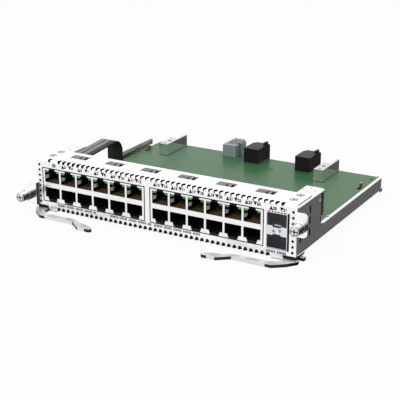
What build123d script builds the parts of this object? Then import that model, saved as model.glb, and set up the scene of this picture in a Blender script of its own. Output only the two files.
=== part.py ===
from build123d import *
import os

os.makedirs("parts", exist_ok=True)

# Driving dimensions in millimetres.
# The card is drawn from the lower left corner of its front panel: x runs along the panel,
# y runs back from its front face and z runs up. The last section moves everything so that
# the origin is below the panel's middle, on the surface that the card rests on.

# Sheet metal
sheet = 1.0
fold_radius = 1.6
top_band = 6.7
top_flange_depth = 24.3
flange_end_gap = 0.9
bottom_flange_depth = 9.0
bottom_flange_inset = 14.0
corner_notch_width = 9.2
corner_notch_height = 3.4

# Jack groups
port_pitch = 13.97
ports_per_row = 6
left_margin = 6.51
group_gap = 6.71
divider = 1.5
jack_bottom = 7.3
jack_height = 24.2
jack_depth = 31.0
middle_band = 3.6
port_height = 7.5
port_depth = 14.5
latch_notch_width = 6.9
latch_notch_height = 1.9
shield_sheet = 0.4
shield_gap = 0.05
cutout_gap = 0.75
bar_height = 1.1
bar_half_width = 4.4
block_half_width = 4.1
block_half_top = 2.75
light_width = 2.7
light_height = 1.6
contact_count = 8
contact_pitch = 1.02
contact_width = 0.46
contact_thickness = 0.3
contact_rise = 1.9
contact_run = 9.0
spring_bump = 0.9
spring_height = 2.6
spring_length = 5.2

# Module cage
cage_gap = 3.74
cage_port_width = 14.0
cage_port_height = 8.8
cage_band = 6.4
cage_floor = 6.9
cage_depth = 38.0
cage_sheet = 0.4
cage_side_slot = 1.5
right_margin = 7.0
socket_depth = 9.0
cage_light_size = 1.7
cage_light_spacing = 4.6
latch_spring_width = 5.6
latch_spring_end = 12.0

# Perforations
vent_radius = 1.3
vent_length = 3.7
vent_shift = 0.9
vent_pitch = 4.08
top_vent_start = 19.8
top_vent_count = 44
lone_vent_x = 11.4
bottom_vent_start = 18.4
bottom_vent_count = 42
side_vent_radius = 0.78
side_vent_pitch = 3.96
side_vent_count = 8
side_vent_start = 6.0
side_vent_inset = 2.6

# Gasket fingers in the top flange
gasket_slot_start = 21.0
gasket_slot_pitch = 29.65
gasket_slot_count = 6
gasket_slot_length = 13.6
gasket_slot_front = 12.0
gasket_slot_depth = 7.6
gasket_length = 11.3
gasket_sheet = 0.3
gasket_crown = 0.35
gasket_finger_count = 6
gasket_slit = 0.35
gasket_split = 9.0
strip_start = 42.0
strip_length = 59.5
strip_break = 4.5
strip_end = 11.0

# Side rails
rail_bottom = 2.5
rail_top = 13.6
rail_length = 152.0
rail_flange = 12.0
rail_lip = 3.0
lip_slot_start = 53.0
lip_slot_length = 2.0
bracket_depth = 42.8
bracket_plate = 13.0
bracket_rear_fold = 8.0
bracket_window = 5.4
bracket_slot_front = 4.8
bracket_slot_rear = 1.6
foot_length = 3.0
wall_slot_width = 1.7
wall_slot_height = 5.0
wall_slot_pitch = 7.8
wall_slot_bottom = 11.6
wall_slot_columns = ((5.2, 1), (12.4, 1), (19.6, 3))
gusset_front = 31.0
gusset_rear = 36.0
gusset_drop = 2.8
gusset_height = 5.4
dimple_radius = 0.5
dimple_depth = 0.4
dimple_inset = 7.7
dimple_row = 34.8
dimple_spread = 4.0
ear_reach = 8.3
ear_height = 16.4
ear_corner = 3.0
ear_offset = 7.7
ear_forward = 2.4
ear_fold_radius = 0.8
ear_notch_depth = 1.1
ear_notch_gap = 0.1
rivet_radius = 1.5
rivet_head_radius = 2.5
rivet_inset = 7.2
rivet_rows = (10.7, 20.3)

# Circuit board
board_front = 8.0
board_rear = 164.5
board_top = 8.6
board_thickness = 1.6
board_left = 4.2
board_right_margin = 6.5
solder = 0.02
standoff_radius = 2.4
standoff_inset = 9.2
standoff_rows = (48.0, 92.0, 140.0)
screw_shank_radius = 1.25
screw_head_radius = 2.3
screw_head_height = 1.2
pin_radius = 1.2
pin_height = 3.7
pin_slot_length = 4.5
pin_slot_width = 1.7
pin_slot_gap = 0.3
left_pin = (7.6, 140.0)
right_pin_inset = 10.2
right_pin_row = 136.0
board_slot_length = 3.2
board_slot_width = 1.0
board_slot_right = 9.6
board_slot_right_row = 156.5
board_slot_middle = (119.2, 140.5)
pin_chamfer = 0.4

# Levers
lever_thickness = 2.4
lever_drop = 1.3
lever_pivot_inset = 4.9
lever_pivot_row = 6.0
lever_hub_radius = 3.8
lever_length = 60.0
lever_bar_front = -13.6
lever_bar_width = 5.0
lever_jaw = ((-1.4, 2.0), (-1.8, -0.6), (3.0, -7.2))
lever_elbow_front = 11.0
lever_elbow_rear = 15.0
lever_throat = -4.6
lever_bend_rear = 22.0
lever_bend_front = 20.0
lever_finger_rear = 14.0
lever_finger_front = 12.0
lever_tip_width = 4.7
lever_tip_corner = 2.0
lever_hook_reach = 6.6
lever_claw_start = -2.7
lever_claw_row = 8.6
lever_claw_width = 3.8
lever_pin_radius = 1.5
lever_pin_head_radius = 2.6
lever_pin_head = 0.8
lever_shoulder_radius = 2.4
lever_shoulder_gap = 0.1
lever_rivet_radius = 1.2
lever_rivet_head_radius = 1.9
lever_rivet_head = 0.7
running_gap = 0.05

# Captive screws
screw_reach = 4.8
collar_radius = 4.2
collar_length = 5.4
collar_shank_radius = 3.0
collar_press = 0.02
knob_radius = 3.4
knob_front = 13.0
knob_tail = 7.1
knob_wall = 0.5
knob_web = 1.6
knob_gap = 0.08
bolt_radius = 1.25
bolt_thread_radius = 1.5
bolt_thread_length = 2.9
bolt_tip = 3.0
bolt_slot_width = 0.7
bolt_slot_length = 3.4
bolt_slot_depth = 0.9
bolt_head_radius = 2.7
bolt_head_height = 1.6
washer_thickness = 0.6
washer_radius = 2.6
screw_travel = 4.5

# Jumper cables and their headers
cable_width = 6.4
cable_gap = 0.3
cable_thickness = 1.2
cable_left = 13.2
cable_front = 19.0
cable_rear = 71.4
cable_rise = 0.5
cable_bend = 9.5
cable_entry_bend = 30.0
plug_depth = 4.0
plug_height = 4.0
header_height = 3.4
header_margin = 0.6
status_board_thickness = 1.0
status_x = 15.5
status_drop = 3.6
status_radius = 1.45

# Parts on the board that the front flange covers
chip_size = 14.0
chip_height = 1.4
chip_row = 56.0
chip_places = (58.0, 98.0, 138.0)
crystal_width = 3.2
crystal_length = 5.0
crystal_height = 1.0
crystal_gap = 3.0
coil_size = 10.0
coil_height = 4.0
coil_row = 46.0
coil_places = (170.0, 184.0)
capacitor_radius = 3.15
capacitor_height = 5.4
capacitor_row = 64.0
capacitor_count = 3
capacitor_gap = 1.6

# Connectors at the rear
guide_width = 7.7
guide_height = 9.6
guide_length = 31.5
guide_front = 131.2
guide_sheet = 0.8
guide_top_length = 19.0
guide_lip_start = 1.2
guide_lip_end = 2.8
guide_holes = ((2.7, 0.9), (10.2, 1.3))
left_guide_x = 22.3
right_guide_x = 159.0
backplane_width = 12.6
backplane_height = 11.6
backplane_length = 21.5
backplane_front = 148.0
backplane_left_x = 91.2
backplane_right_x = 135.8
backplane_socket_depth = 6.0
backplane_wall = 1.5
backplane_step = 2.3
backplane_step_drop = 0.9
backplane_corner = (2.2, 3.8)
backplane_key_width = 2.0
backplane_key_inset = 0.6
backplane_key_length = 5.0
backplane_key_rise = 1.9
connector_skirt = 0.6
connector_skirt_gap = 0.3
power_width = 11.8
power_height = 9.6
power_length = 18.5
power_front = 154.0
power_x = 68.8
power_slot_start = 2.2
power_slot_pitch = 3.2
power_slot_width = 1.8
power_slot_depth = 8.0
power_slot_count = 3
power_blade = 0.7
power_rib = 1.3
pin_columns = 5
pin_rows = 4
backplane_pin = 0.6
backplane_pin_reach = 4.5

# Sizes that follow from the ones above
group_width = ports_per_row * port_pitch
left_group = left_margin
right_group = left_group + group_width + group_gap
cage_left = right_group + group_width + cage_gap
cage_right = cage_left + cage_port_width
panel_width = cage_right + right_margin
jack_top = jack_bottom + jack_height
panel_height = jack_top + top_band
status_z = panel_height - status_drop
cable_arch_top = panel_height + cable_rise
jack_middle = (jack_bottom + jack_top) / 2
upper_floor = jack_middle + middle_band / 2
upper_ceiling = upper_floor + port_height
lower_ceiling = jack_middle - middle_band / 2
lower_floor = lower_ceiling - port_height
port_width = port_pitch - divider
cage_upper_floor = cage_floor + cage_port_height + cage_band
cage_top = cage_upper_floor + cage_port_height + cage_sheet
plate_top = panel_height - sheet
board_bottom = board_top - board_thickness
seat = board_top + solder
rail_flange_top = rail_bottom + sheet
ear_front = -ear_forward
ear_back = ear_front + sheet
ear_middle = panel_height / 2
right_screw = (panel_width + screw_reach, ear_middle + ear_offset)
left_screw = (-screw_reach, ear_middle - ear_offset)
lever_top = lever_thickness - lever_drop


def block(x0, x1, y0, y1, z0, z1):
    """A box between two corners."""
    size = Box(x1 - x0, y1 - y0, z1 - z0, align=(Align.MIN, Align.MIN, Align.MIN))
    return size.moved(Location((x0, y0, z0)))


def rod(radius, start, length, axis="z"):
    """A cylinder that starts at a point and runs along an axis."""
    turn = {"x": (0, 90, 0), "y": (-90, 0, 0), "z": (0, 0, 0)}[axis]
    solid = Cylinder(radius, length, align=(Align.CENTER, Align.CENTER, Align.MIN))
    return Location(start) * Location((0, 0, 0), turn) * solid


def prism_x(points, x0, x1):
    """A (y, z) outline carried along x."""
    outline = Plane.YZ.offset(x0) * make_face(Polyline(*points, close=True))
    return extrude(outline, amount=x1 - x0, dir=(1, 0, 0))


def prism_y(points, y0, y1):
    """An (x, z) outline carried along y."""
    outline = Plane.XZ.offset(-y0) * make_face(Polyline(*points, close=True))
    return extrude(outline, amount=y1 - y0, dir=(0, 1, 0))


def prism_z(points, z0, z1):
    """An (x, y) outline carried along z."""
    outline = Plane.XY.offset(z0) * make_face(Polyline(*points, close=True))
    return extrude(outline, amount=z1 - z0, dir=(0, 0, 1))


def group(pieces):
    """Several like solids in one node."""
    return Compound(children=list(pieces))


def mirrored(piece):
    """The same piece on the card's other side."""
    return mirror(piece, about=Plane.YZ.offset(panel_width / 2))


def folded(path, inner_first, thickness, plane, length, direction):
    """A folded sheet: the outer line of its section, filleted, with a thickness, carried along."""
    line = FilletPolyline(*path, radius=fold_radius)
    side = Side.LEFT if inner_first else Side.RIGHT
    section = make_face(offset(line, amount=thickness, side=side, closed=True))
    return extrude(plane * section, amount=length, dir=direction)


# Front panel

def group_starts():
    return (left_group, right_group)


def top_vents():
    places = [lone_vent_x] + [top_vent_start + i * vent_pitch for i in range(top_vent_count)]
    limit = panel_width - side_vent_inset - 2 * vent_radius
    return [x for x in places if x < limit]


def bottom_vents():
    places = [bottom_vent_start + i * vent_pitch for i in range(bottom_vent_count)]
    limit = panel_width - bottom_flange_inset - vent_radius
    return [x for x in places if x < limit]


def vent_cutters():
    """Short slots across both long bends and round holes straight through at both ends."""
    slot = SlotCenterToCenter(vent_length - 2 * vent_radius, 2 * vent_radius, rotation=90)
    tool = extrude(slot, amount=3 * sheet, both=True)
    upper = Location((0, 0, 0), (45, 0, 0)) * tool
    lower = Location((0, 0, 0), (-45, 0, 0)) * tool
    middle = fold_radius / 2
    spot = (middle + vent_shift, panel_height - middle)
    cutters = [upper.moved(Location((x, *spot))) for x in top_vents()]
    cutters += [lower.moved(Location((x, middle, middle))) for x in bottom_vents()]
    for x in (side_vent_inset, panel_width - side_vent_inset):
        for i in range(side_vent_count):
            z = side_vent_start + i * side_vent_pitch
            cutters.append(rod(side_vent_radius, (x, -sheet, z), 3 * sheet, "y"))
    return cutters


def jack_outer(start):
    """The outer corners of a jack group's shield in x."""
    return start - divider / 2, start + group_width + divider / 2


def gasket_slots():
    places = [gasket_slot_start + i * gasket_slot_pitch for i in range(gasket_slot_count)]
    limit = panel_width - bracket_plate - gasket_slot_length / 2
    return [x for x in places if x < limit]


def rivet_places():
    return [(x, y) for x in (rivet_inset, panel_width - rivet_inset) for y in rivet_rows]


def rivet(x, y, gap):
    """A countersunk rivet through the panel's flange and the bracket's plate below it."""
    tail = 0.8
    shank = rod(rivet_radius + gap, (x, y, plate_top - sheet - tail), 2 * sheet + tail)
    cone = Cone(rivet_radius + gap, rivet_head_radius + gap, sheet * 0.9,
                align=(Align.CENTER, Align.CENTER, Align.MAX))
    return shank + cone.moved(Location((x, y, panel_height)))


def ear_notches():
    """Notches in the panel's ends that let the rails' ears come forward."""
    half = ear_height / 2 + ear_notch_gap
    depth = ear_notch_depth
    pieces = []
    for x, z in ((-1, left_screw[1]), (panel_width - depth, right_screw[1])):
        pieces.append(block(x, x + depth + 1, -1, sheet + 1, z - half, z + half))
    return pieces


def front_panel():
    top = [(top_flange_depth, panel_height), (0, panel_height), (0, 0), (bottom_flange_depth, 0)]
    piece = folded(top, True, sheet, Plane.YZ, panel_width, (1, 0, 0))
    for x0, x1 in ((0, bottom_flange_inset), (panel_width - bottom_flange_inset, panel_width)):
        piece -= block(x0, x1, sheet, bottom_flange_depth + 1, -1, corner_notch_height)
    for x0, x1 in ((-1, corner_notch_width), (panel_width - corner_notch_width, panel_width + 1)):
        piece -= block(x0, x1, -1, sheet + 1, -1, corner_notch_height)
    for x0, x1 in ((-1, flange_end_gap), (panel_width - flange_end_gap, panel_width + 1)):
        piece -= block(x0, x1, fold_radius, top_flange_depth + 1, plate_top - 1, panel_height + 1)
    for start in group_starts():
        x0, x1 = jack_outer(start)
        piece -= block(x0 - cutout_gap, x1 + cutout_gap, -1, sheet + 1,
                       jack_bottom - cutout_gap, jack_top + cutout_gap)
    piece -= block(cage_left - cage_sheet - 0.1, cage_right + cage_sheet + cage_side_slot,
                   -1, sheet + 1, cage_floor - cage_sheet - cutout_gap / 2, cage_top + cutout_gap)
    piece -= group(vent_cutters())
    for notch in ear_notches():
        piece -= notch
    piece -= rod(status_radius + 0.1, (status_x, -1, status_z), 3 * sheet, "y")
    for x in gasket_slots():
        piece -= block(x, x + gasket_slot_length, gasket_slot_front,
                       gasket_slot_front + gasket_slot_depth, plate_top - 1, panel_height + 1)
    piece -= group([rivet(x, y, 0.03) for x, y in rivet_places()])
    return piece


def top_gasket():
    """Spring fingers clipped in the flange's slots, crowned a little above it."""
    pieces = []
    y0 = gasket_slot_front
    y1 = y0 + gasket_slot_depth
    z0 = plate_top - gasket_sheet
    crown = panel_height + gasket_crown
    lip = 1.5
    section = [(y0 - lip, z0), (y0 + 0.6, z0), (y0 + 2.4, crown - gasket_sheet),
               (y1 - 2.4, crown - gasket_sheet), (y1 - 0.6, z0), (y1 + lip, z0),
               (y1 + lip, plate_top), (y1 - 0.4, plate_top), (y1 - 2.2, crown),
               (y0 + 2.2, crown), (y0 + 0.4, plate_top), (y0 - lip, plate_top)]
    for x in gasket_slots():
        strip = prism_x(section, x + 0.3, x + gasket_length)
        step = gasket_split / gasket_finger_count
        for i in range(1, gasket_finger_count + 1):
            cut = x + i * step
            strip -= block(cut - gasket_slit / 2, cut + gasket_slit / 2,
                           y0 + 0.3, y1 - 0.3, z0 - 1, crown + 1)
        pieces.append(strip)
    return group(pieces)


def bend_strips():
    """Bright gasket strips behind the upper vents, in two lengths."""
    inner = sheet + 0.05
    depth = 3.6
    ends = (strip_start, strip_start + strip_length, strip_start + strip_length + strip_break,
            cage_right - strip_end)
    section = [(inner, panel_height - 4.4), (inner, panel_height - sheet - 1.0),
               (inner + 1.0, plate_top - 0.05), (inner + depth, plate_top - 0.05),
               (inner + depth, plate_top - 0.35), (inner + 1.1, plate_top - 0.35),
               (inner + 0.3, plate_top - 1.15), (inner + 0.3, panel_height - 4.4)]
    return group([prism_x(section, ends[i], ends[i + 1]) for i in (0, 2)])


# Side rails with their brackets and ears

def wall_slots():
    """Lower front corners in y and z of the upright slots in a rail's high wall."""
    places = [(y, wall_slot_bottom + i * wall_slot_pitch)
              for y, count in wall_slot_columns for i in range(count)]
    limit = plate_top - fold_radius - wall_slot_height
    return [(y, z) for y, z in places if z < limit]


def rail(ear_z):
    """The right-hand rail: a folded sheet with a high bracket, an ear and a long low channel."""
    edge = panel_width
    high = [(edge - bracket_plate, plate_top), (edge, plate_top), (edge, rail_bottom),
            (edge - rail_flange, rail_bottom)]
    front = sheet
    piece = folded(high, False, sheet, Plane.XZ.offset(-front), bracket_depth - front, (0, 1, 0))
    low = [(edge - rail_lip, rail_top), (edge, rail_top), (edge, rail_bottom),
           (edge - rail_flange, rail_bottom)]
    start = bracket_depth - bracket_window
    piece += folded(low, False, sheet, Plane.XZ.offset(-start), rail_length - start, (0, 1, 0))
    piece -= block(edge - sheet - 1, edge + 1, start, bracket_depth + 1,
                   rail_top, rail_top + bracket_window)
    piece -= block(edge - rail_lip - 1, edge - 1.8, start - 1, lip_slot_start,
                   rail_top - sheet - 0.01, rail_top + 1)
    piece -= block(edge - rail_lip - 1, edge - sheet, lip_slot_start,
                   lip_slot_start + lip_slot_length, rail_top - sheet - 0.01, rail_top + 1)
    fold_bottom = rail_top + bracket_window
    piece += block(edge - bracket_rear_fold, edge - sheet / 2, bracket_depth - sheet,
                   bracket_depth, fold_bottom, plate_top - sheet)
    piece -= block(edge - sheet - 0.5, edge + 1, bracket_depth - bracket_slot_front,
                   bracket_depth - bracket_slot_rear, fold_bottom + 0.6, plate_top - 1.9)
    piece += block(edge - rail_lip, edge - sheet / 2, rail_length - sheet, rail_length,
                   board_top + 0.6, rail_top - sheet / 2)
    piece += block(edge - sheet, edge, rail_length - sheet, rail_length + foot_length,
                   rail_bottom - 1.0, rail_bottom + 1.6)
    piece -= block(edge - bracket_plate - 1, edge + 1, 0, fold_radius + 0.1,
                   plate_top - sheet, panel_height)
    ear_low = ear_z - ear_height / 2
    ear_high = ear_z + ear_height / 2
    ear = block(edge - sheet, edge + ear_reach, ear_front, ear_back, ear_low, ear_high)
    corners = ear.edges().filter_by(Axis.Y).group_by(Axis.X)[-1]
    ear = fillet(corners, ear_corner)
    ear += block(edge - sheet, edge, ear_front, front, ear_low, ear_high)
    bend = ear.edges().filter_by(Axis.Z).group_by(Axis.X)[0].sort_by(Axis.Y)[0]
    piece += fillet(bend, ear_fold_radius)
    bore = collar_shank_radius + collar_press
    piece -= rod(bore, (edge + screw_reach, ear_front - 1, ear_z), 3 * sheet, "y")
    for y, z in wall_slots():
        piece -= block(edge - sheet - 1, edge + 1, y, y + wall_slot_width, z,
                       z + wall_slot_height)
    gusset_top = panel_height - gusset_drop
    gusset = [(gusset_front, gusset_top), (gusset_rear, gusset_top),
              (gusset_rear, gusset_top - gusset_height)]
    piece -= prism_x(gusset, edge - 0.3, edge + 1)
    for x, y in ((-1, 0), (0, 1), (0, -1), (1, 0)):
        place = (edge - dimple_inset + x * dimple_spread, dimple_row + y * dimple_spread,
                 plate_top - dimple_depth)
        piece -= rod(dimple_radius, place, 1.0)
    holes = [rivet(x, y, 0.03) for x, y in rivet_places() if x > edge / 2]
    piece -= group(holes)
    for y in standoff_rows:
        place = (edge - standoff_inset, y, rail_bottom - 1)
        piece -= rod(screw_shank_radius + 0.1, place, 3 * sheet)
    pivot = (edge - lever_pivot_inset, lever_pivot_row, rail_bottom - 1)
    piece -= rod(lever_rivet_radius + 0.02, pivot, 3 * sheet)
    return piece


def rivets():
    tail = 0.8
    pieces = []
    for x, y in rivet_places():
        body = rivet(x, y, 0)
        body += rod(rivet_radius + 0.6, (x, y, plate_top - sheet - tail), tail)
        pieces.append(body)
    return group(pieces)


# Circuit board and what fixes it

def standoff_places():
    return [(x, y) for x in (standoff_inset, panel_width - standoff_inset) for y in standoff_rows]


def pin_places():
    return (left_pin, (panel_width - right_pin_inset, right_pin_row))


def circuit_board():
    right = panel_width - board_right_margin
    piece = block(board_left, right, board_front, board_rear, board_bottom, board_top)
    side = cage_sheet + 0.3
    piece -= block(cage_left - side, cage_right + side, board_front - 1, cage_depth + 0.5,
                   board_bottom - 1, board_top + 1)
    for x, y in pin_places():
        slot_rear = y - pin_radius - pin_slot_gap
        piece -= block(x - pin_slot_width / 2, x + pin_slot_width / 2,
                       slot_rear - pin_slot_length, slot_rear, board_bottom - 1, board_top + 1)
    half_length = board_slot_length / 2
    half_width = board_slot_width / 2
    for x, y in ((panel_width - board_slot_right, board_slot_right_row), board_slot_middle):
        piece -= block(x - half_length, x + half_length, y - half_width, y + half_width,
                       board_bottom - 1, board_top + 1)
    return piece


def standoffs():
    height = board_bottom - rail_flange_top
    return group([rod(standoff_radius, (x, y, rail_flange_top), height)
                  - rod(screw_shank_radius + 0.02, (x, y, rail_flange_top - 1), height)
                  for x, y in standoff_places()])


def board_screws():
    pieces = []
    length = board_bottom - rail_flange_top - 1.2
    for x, y in standoff_places():
        screw = rod(screw_head_radius, (x, y, rail_bottom - screw_head_height), screw_head_height)
        screw += rod(screw_shank_radius, (x, y, rail_bottom - 0.1), sheet + length + 0.1)
        slot = block(x - 1.4, x + 1.4, y - 0.3, y + 0.3, rail_bottom - screw_head_height - 1,
                     rail_bottom - screw_head_height + 0.6)
        cross = block(x - 0.3, x + 0.3, y - 1.4, y + 1.4, rail_bottom - screw_head_height - 1,
                      rail_bottom - screw_head_height + 0.6)
        pieces.append(screw - slot - cross)
    return group(pieces)


def board_pins():
    pieces = []
    for x, y in pin_places():
        pin = rod(pin_radius, (x, y, seat), pin_height)
        top = pin.edges().sort_by(Axis.Z)[-1]
        pieces.append(chamfer(top, pin_chamfer))
    return group(pieces)


# Jack groups

def port_starts(start):
    return [start + i * port_pitch for i in range(ports_per_row)]


def lower_notch(middle, bottom, top):
    """The lower latch notch, wider at its top."""
    half_top = port_pitch / 2 - block_half_top
    half_bottom = port_pitch / 2 - block_half_width
    return [(middle - half_bottom, bottom), (middle + half_bottom, bottom),
            (middle + half_top, top), (middle - half_top, top)]


def jack_shield(start):
    x0, x1 = jack_outer(start)
    wall = shield_sheet
    piece = block(x0, x1, 0, jack_depth, jack_bottom, jack_top)
    piece -= block(x0 + wall, x1 - wall, wall, jack_depth - wall, jack_bottom + wall,
                   jack_top - wall)
    piece -= block(x0 - 1, x1 + 1, board_front - 0.3, jack_depth + 1, 0, board_top + 0.02)
    cutters = []
    bar_bottom = jack_top - bar_height
    for x in port_starts(start):
        middle = x + port_pitch / 2
        half = port_width / 2
        notch = port_pitch / 2 - bar_half_width
        cutters.append(block(middle - half, middle + half, -1, 2 * wall, upper_floor, bar_bottom))
        cutters.append(block(middle - notch, middle + notch, -1, 5 * wall, bar_bottom - 1,
                             jack_top + 1))
        cutters.append(block(middle - half, middle + half, -1, 2 * wall, lower_floor,
                             lower_ceiling))
        points = lower_notch(middle, jack_bottom - 1, lower_floor + 0.01)
        cutters.append(prism_y(points, -1, 5 * wall))
    return piece - group(cutters)


def light_places(start):
    """Left corners of the light pipes: two over each upper port."""
    half = port_width / 2
    places = []
    for x in port_starts(start):
        middle = x + port_pitch / 2
        places += [middle - half, middle + half - light_width]
    return places


def light_bottom():
    return upper_ceiling + 0.05


def jack_housing(start):
    x0, x1 = jack_outer(start)
    wall = shield_sheet + shield_gap
    piece = block(x0 + wall, x1 - wall, wall, jack_depth - wall, jack_bottom + wall,
                  jack_top - wall)
    piece -= block(x0 - 1, x1 + 1, board_front - 0.3, jack_depth + 1, 0, board_top + 0.02)
    cutters = []
    for x in port_starts(start):
        middle = x + port_pitch / 2
        half = port_width / 2
        notch = latch_notch_width / 2
        cutters.append(block(middle - half, middle + half, -1, port_depth, upper_floor,
                             upper_ceiling))
        cutters.append(block(middle - notch, middle + notch, -1, port_depth - 3,
                             upper_ceiling - 1, upper_ceiling + latch_notch_height))
        cutters.append(block(middle - half, middle + half, -1, port_depth, lower_floor,
                             lower_ceiling))
        cutters.append(block(middle - notch, middle + notch, -1, board_front - 1,
                             lower_floor - latch_notch_height + 0.3, lower_floor + 1))
        cutters.append(block(middle - notch, middle + notch, -1, port_depth - 3,
                             board_top + 0.6, lower_floor + 1))
    for x in light_places(start):
        cutters.append(block(x, x + light_width + 0.05, -1, jack_depth - 2,
                             light_bottom() - 0.1, light_bottom() + light_height + 0.05))
    return piece - group(cutters)


def light_pipes(start):
    return group([block(x + 0.05, x + light_width, shield_sheet + 0.05, jack_depth - 2,
                        light_bottom(), light_bottom() + light_height)
                  for x in light_places(start)])


def contact_section(floor, up):
    """One contact wire from the port's floor up to its rear wall."""
    y0 = port_depth - contact_run
    foot = 0.6
    t = contact_thickness
    points = [(y0, 0), (y0 + foot, 0), (port_depth, contact_rise - t), (port_depth, contact_rise),
              (y0 + foot * 0.6, t), (y0, t)]
    return [(y, floor + up * z) for y, z in points]


def jack_contacts(start):
    pieces = []
    first = (contact_count - 1) * contact_pitch / 2
    for x in port_starts(start):
        middle = x + port_pitch / 2
        for i in range(contact_count):
            place = middle - first + i * contact_pitch - contact_width / 2
            pieces.append(prism_x(contact_section(upper_floor, 1), place, place + contact_width))
            pieces.append(prism_x(contact_section(lower_ceiling, -1), place,
                                  place + contact_width))
    return group(pieces)


def jack_springs(start):
    """Grounding springs on both side walls of each upper port."""
    t = 0.2
    b = spring_bump
    y0 = 0.8
    y1 = y0 + spring_length
    ym = (y0 + y1) / 2
    section = [(0, y0), (b, ym - 0.5), (b, ym + 0.5), (0, y1), (0, y1 - 0.4),
               (b - t, ym + 0.4), (b - t, ym - 0.4), (0, y0 + 0.4)]
    z0 = upper_floor + port_height / 2 - spring_height / 2
    pieces = []
    for x in port_starts(start):
        left = x + divider / 2
        right = x + port_pitch - divider / 2
        pieces.append(prism_z([(left + a, y) for a, y in section], z0, z0 + spring_height))
        pieces.append(prism_z([(right - a, y) for a, y in section], z0, z0 + spring_height))
    return group(pieces)


# Module cage

def cage_ports():
    return ((cage_floor, cage_floor + cage_port_height),
            (cage_upper_floor, cage_upper_floor + cage_port_height))


def cage_middle():
    return (cage_left + cage_right) / 2


def module_cage():
    t = cage_sheet
    piece = block(cage_left - t, cage_right + t, 0, cage_depth, cage_floor - t, cage_top)
    for z0, z1 in cage_ports():
        piece -= block(cage_left, cage_right, -1, cage_depth - t, z0, z1)
    band_bottom = cage_floor + cage_port_height
    band_top = cage_upper_floor
    piece -= block(cage_left, cage_right, t, cage_depth - t, band_bottom + t, band_top - t)
    half = latch_spring_width / 2
    middle = cage_middle()
    for z0, z1 in ((band_bottom - 1, band_bottom + 1.0), (band_top - 1.0, band_top + 1)):
        piece -= block(middle - half, middle + half, -1, 3.0, z0, z1)
    for x, up in cage_lights():
        piece -= prism_y(triangle(x, up, 0.08), -1, 2 * t)
    return piece


def cage_lights():
    shift = cage_light_spacing / 2
    return ((cage_middle() - shift, 1), (cage_middle() + shift, -1))


def triangle(x, up, grow):
    """A small pointer in x and z about the band's middle."""
    z = cage_floor + cage_port_height + cage_band / 2
    r = cage_light_size / 2 + grow
    return [(x - r, z - up * r), (x + r, z - up * r), (x, z + up * (r + grow))]


def cage_light_pipes():
    return group([prism_y(triangle(x, up, 0), 0.05, cage_depth - 2) for x, up in cage_lights()])


def latch_springs():
    """Thin tongues that press on a module's latch from the band's upper and lower edge."""
    half = latch_spring_width / 2 - 0.3
    middle = cage_middle()
    band_bottom = cage_floor + cage_port_height
    band_top = cage_upper_floor
    return group([block(middle - half, middle + half, 0.6, latch_spring_end,
                        band_bottom + 1.05, band_bottom + 1.3),
                  block(middle - half, middle + half, 0.6, latch_spring_end,
                        band_top - 1.3, band_top - 1.05)])


def module_sockets():
    pieces = []
    back = cage_depth - cage_sheet
    for z0, z1 in cage_ports():
        socket = block(cage_left + 0.2, cage_right - 0.2, back - socket_depth, back, z0, z1 - 0.2)
        middle = (z0 + z1) / 2
        socket -= block(cage_left + 2.4, cage_right - 2.4, back - socket_depth - 1,
                        back - socket_depth + 5.5, middle - 0.7, middle + 0.7)
        pieces.append(socket)
    return group(pieces)


def cage_gasket():
    """A comb of short fingers between the cage's top and the cut-out's edge."""
    x0 = cage_left - cage_sheet
    x1 = cage_right + cage_sheet
    strip = block(x0, x1, 0.1, 3.0, cage_top, cage_top + cutout_gap - 0.1)
    fingers = 7
    step = (x1 - x0) / fingers
    for i in range(1, fingers):
        x = x0 + i * step
        strip -= block(x - 0.45, x + 0.45, -1, 2.2, cage_top - 1, cage_top + 2)
    return strip


# Status light, its small board and the jumper cables

def cable_lefts():
    return (cable_left, cable_left + cable_width + cable_gap)


def cable_right():
    return cable_lefts()[1] + cable_width


def status_board():
    return block(cable_left - 4.5, cable_right() + 3.0, sheet + 0.6, cable_front + 2.0,
                 jack_top, jack_top + status_board_thickness)


def status_light():
    top = jack_top + status_board_thickness
    y0 = sheet + 0.8
    lens = rod(status_radius, (status_x, -0.35, status_z), y0 + 0.6, "y")
    crown = lens.edges().sort_by(Axis.Y)[0]
    lens = fillet(crown, 0.3)
    return lens + block(status_x - 1.5, status_x + 1.5, y0, y0 + 3.4, top, status_z + 1.4)


def status_header():
    top = jack_top + status_board_thickness
    rear = cable_front - plug_depth
    return block(cable_left - header_margin, cable_right() + header_margin, rear - plug_depth,
                 rear, top, top + header_height)


def main_header():
    half = plug_depth / 2 + header_margin
    return block(cable_left - header_margin, cable_right() + header_margin, cable_rear - half,
                 cable_rear + half, seat, seat + header_height)


def cable_points():
    """The upper, outer line of each cable, in y and z."""
    front_z = jack_top + status_board_thickness + 2.1 + cable_thickness / 2
    rear_z = seat + header_height + plug_height
    outer = cable_rear + cable_thickness / 2
    return [(cable_front, front_z), (cable_front + 11.0, front_z + 0.7),
            (outer, cable_arch_top), (outer, rear_z)]


def jumper_cable(x):
    line = FilletPolyline(*cable_points(), radius=[cable_entry_bend, cable_bend])
    section = make_face(offset(line, amount=cable_thickness, side=Side.RIGHT, closed=True))
    return extrude(Plane.YZ.offset(x) * section, amount=cable_width, dir=(1, 0, 0))


def cable_plugs():
    pieces = []
    front_y, front_z = cable_points()[0]
    front_z -= cable_thickness / 2
    rear_y = cable_rear
    rear_z = cable_points()[-1][1]
    for x in cable_lefts():
        x1 = x + cable_width
        pieces.append(block(x, x1, front_y - plug_depth, front_y, front_z - 1.5, front_z + 1.5))
        pieces.append(block(x, x1, rear_y - plug_depth / 2, rear_y + plug_depth / 2,
                            rear_z - plug_height, rear_z))
    return group(pieces)


# Chips, coils and capacitors

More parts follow.
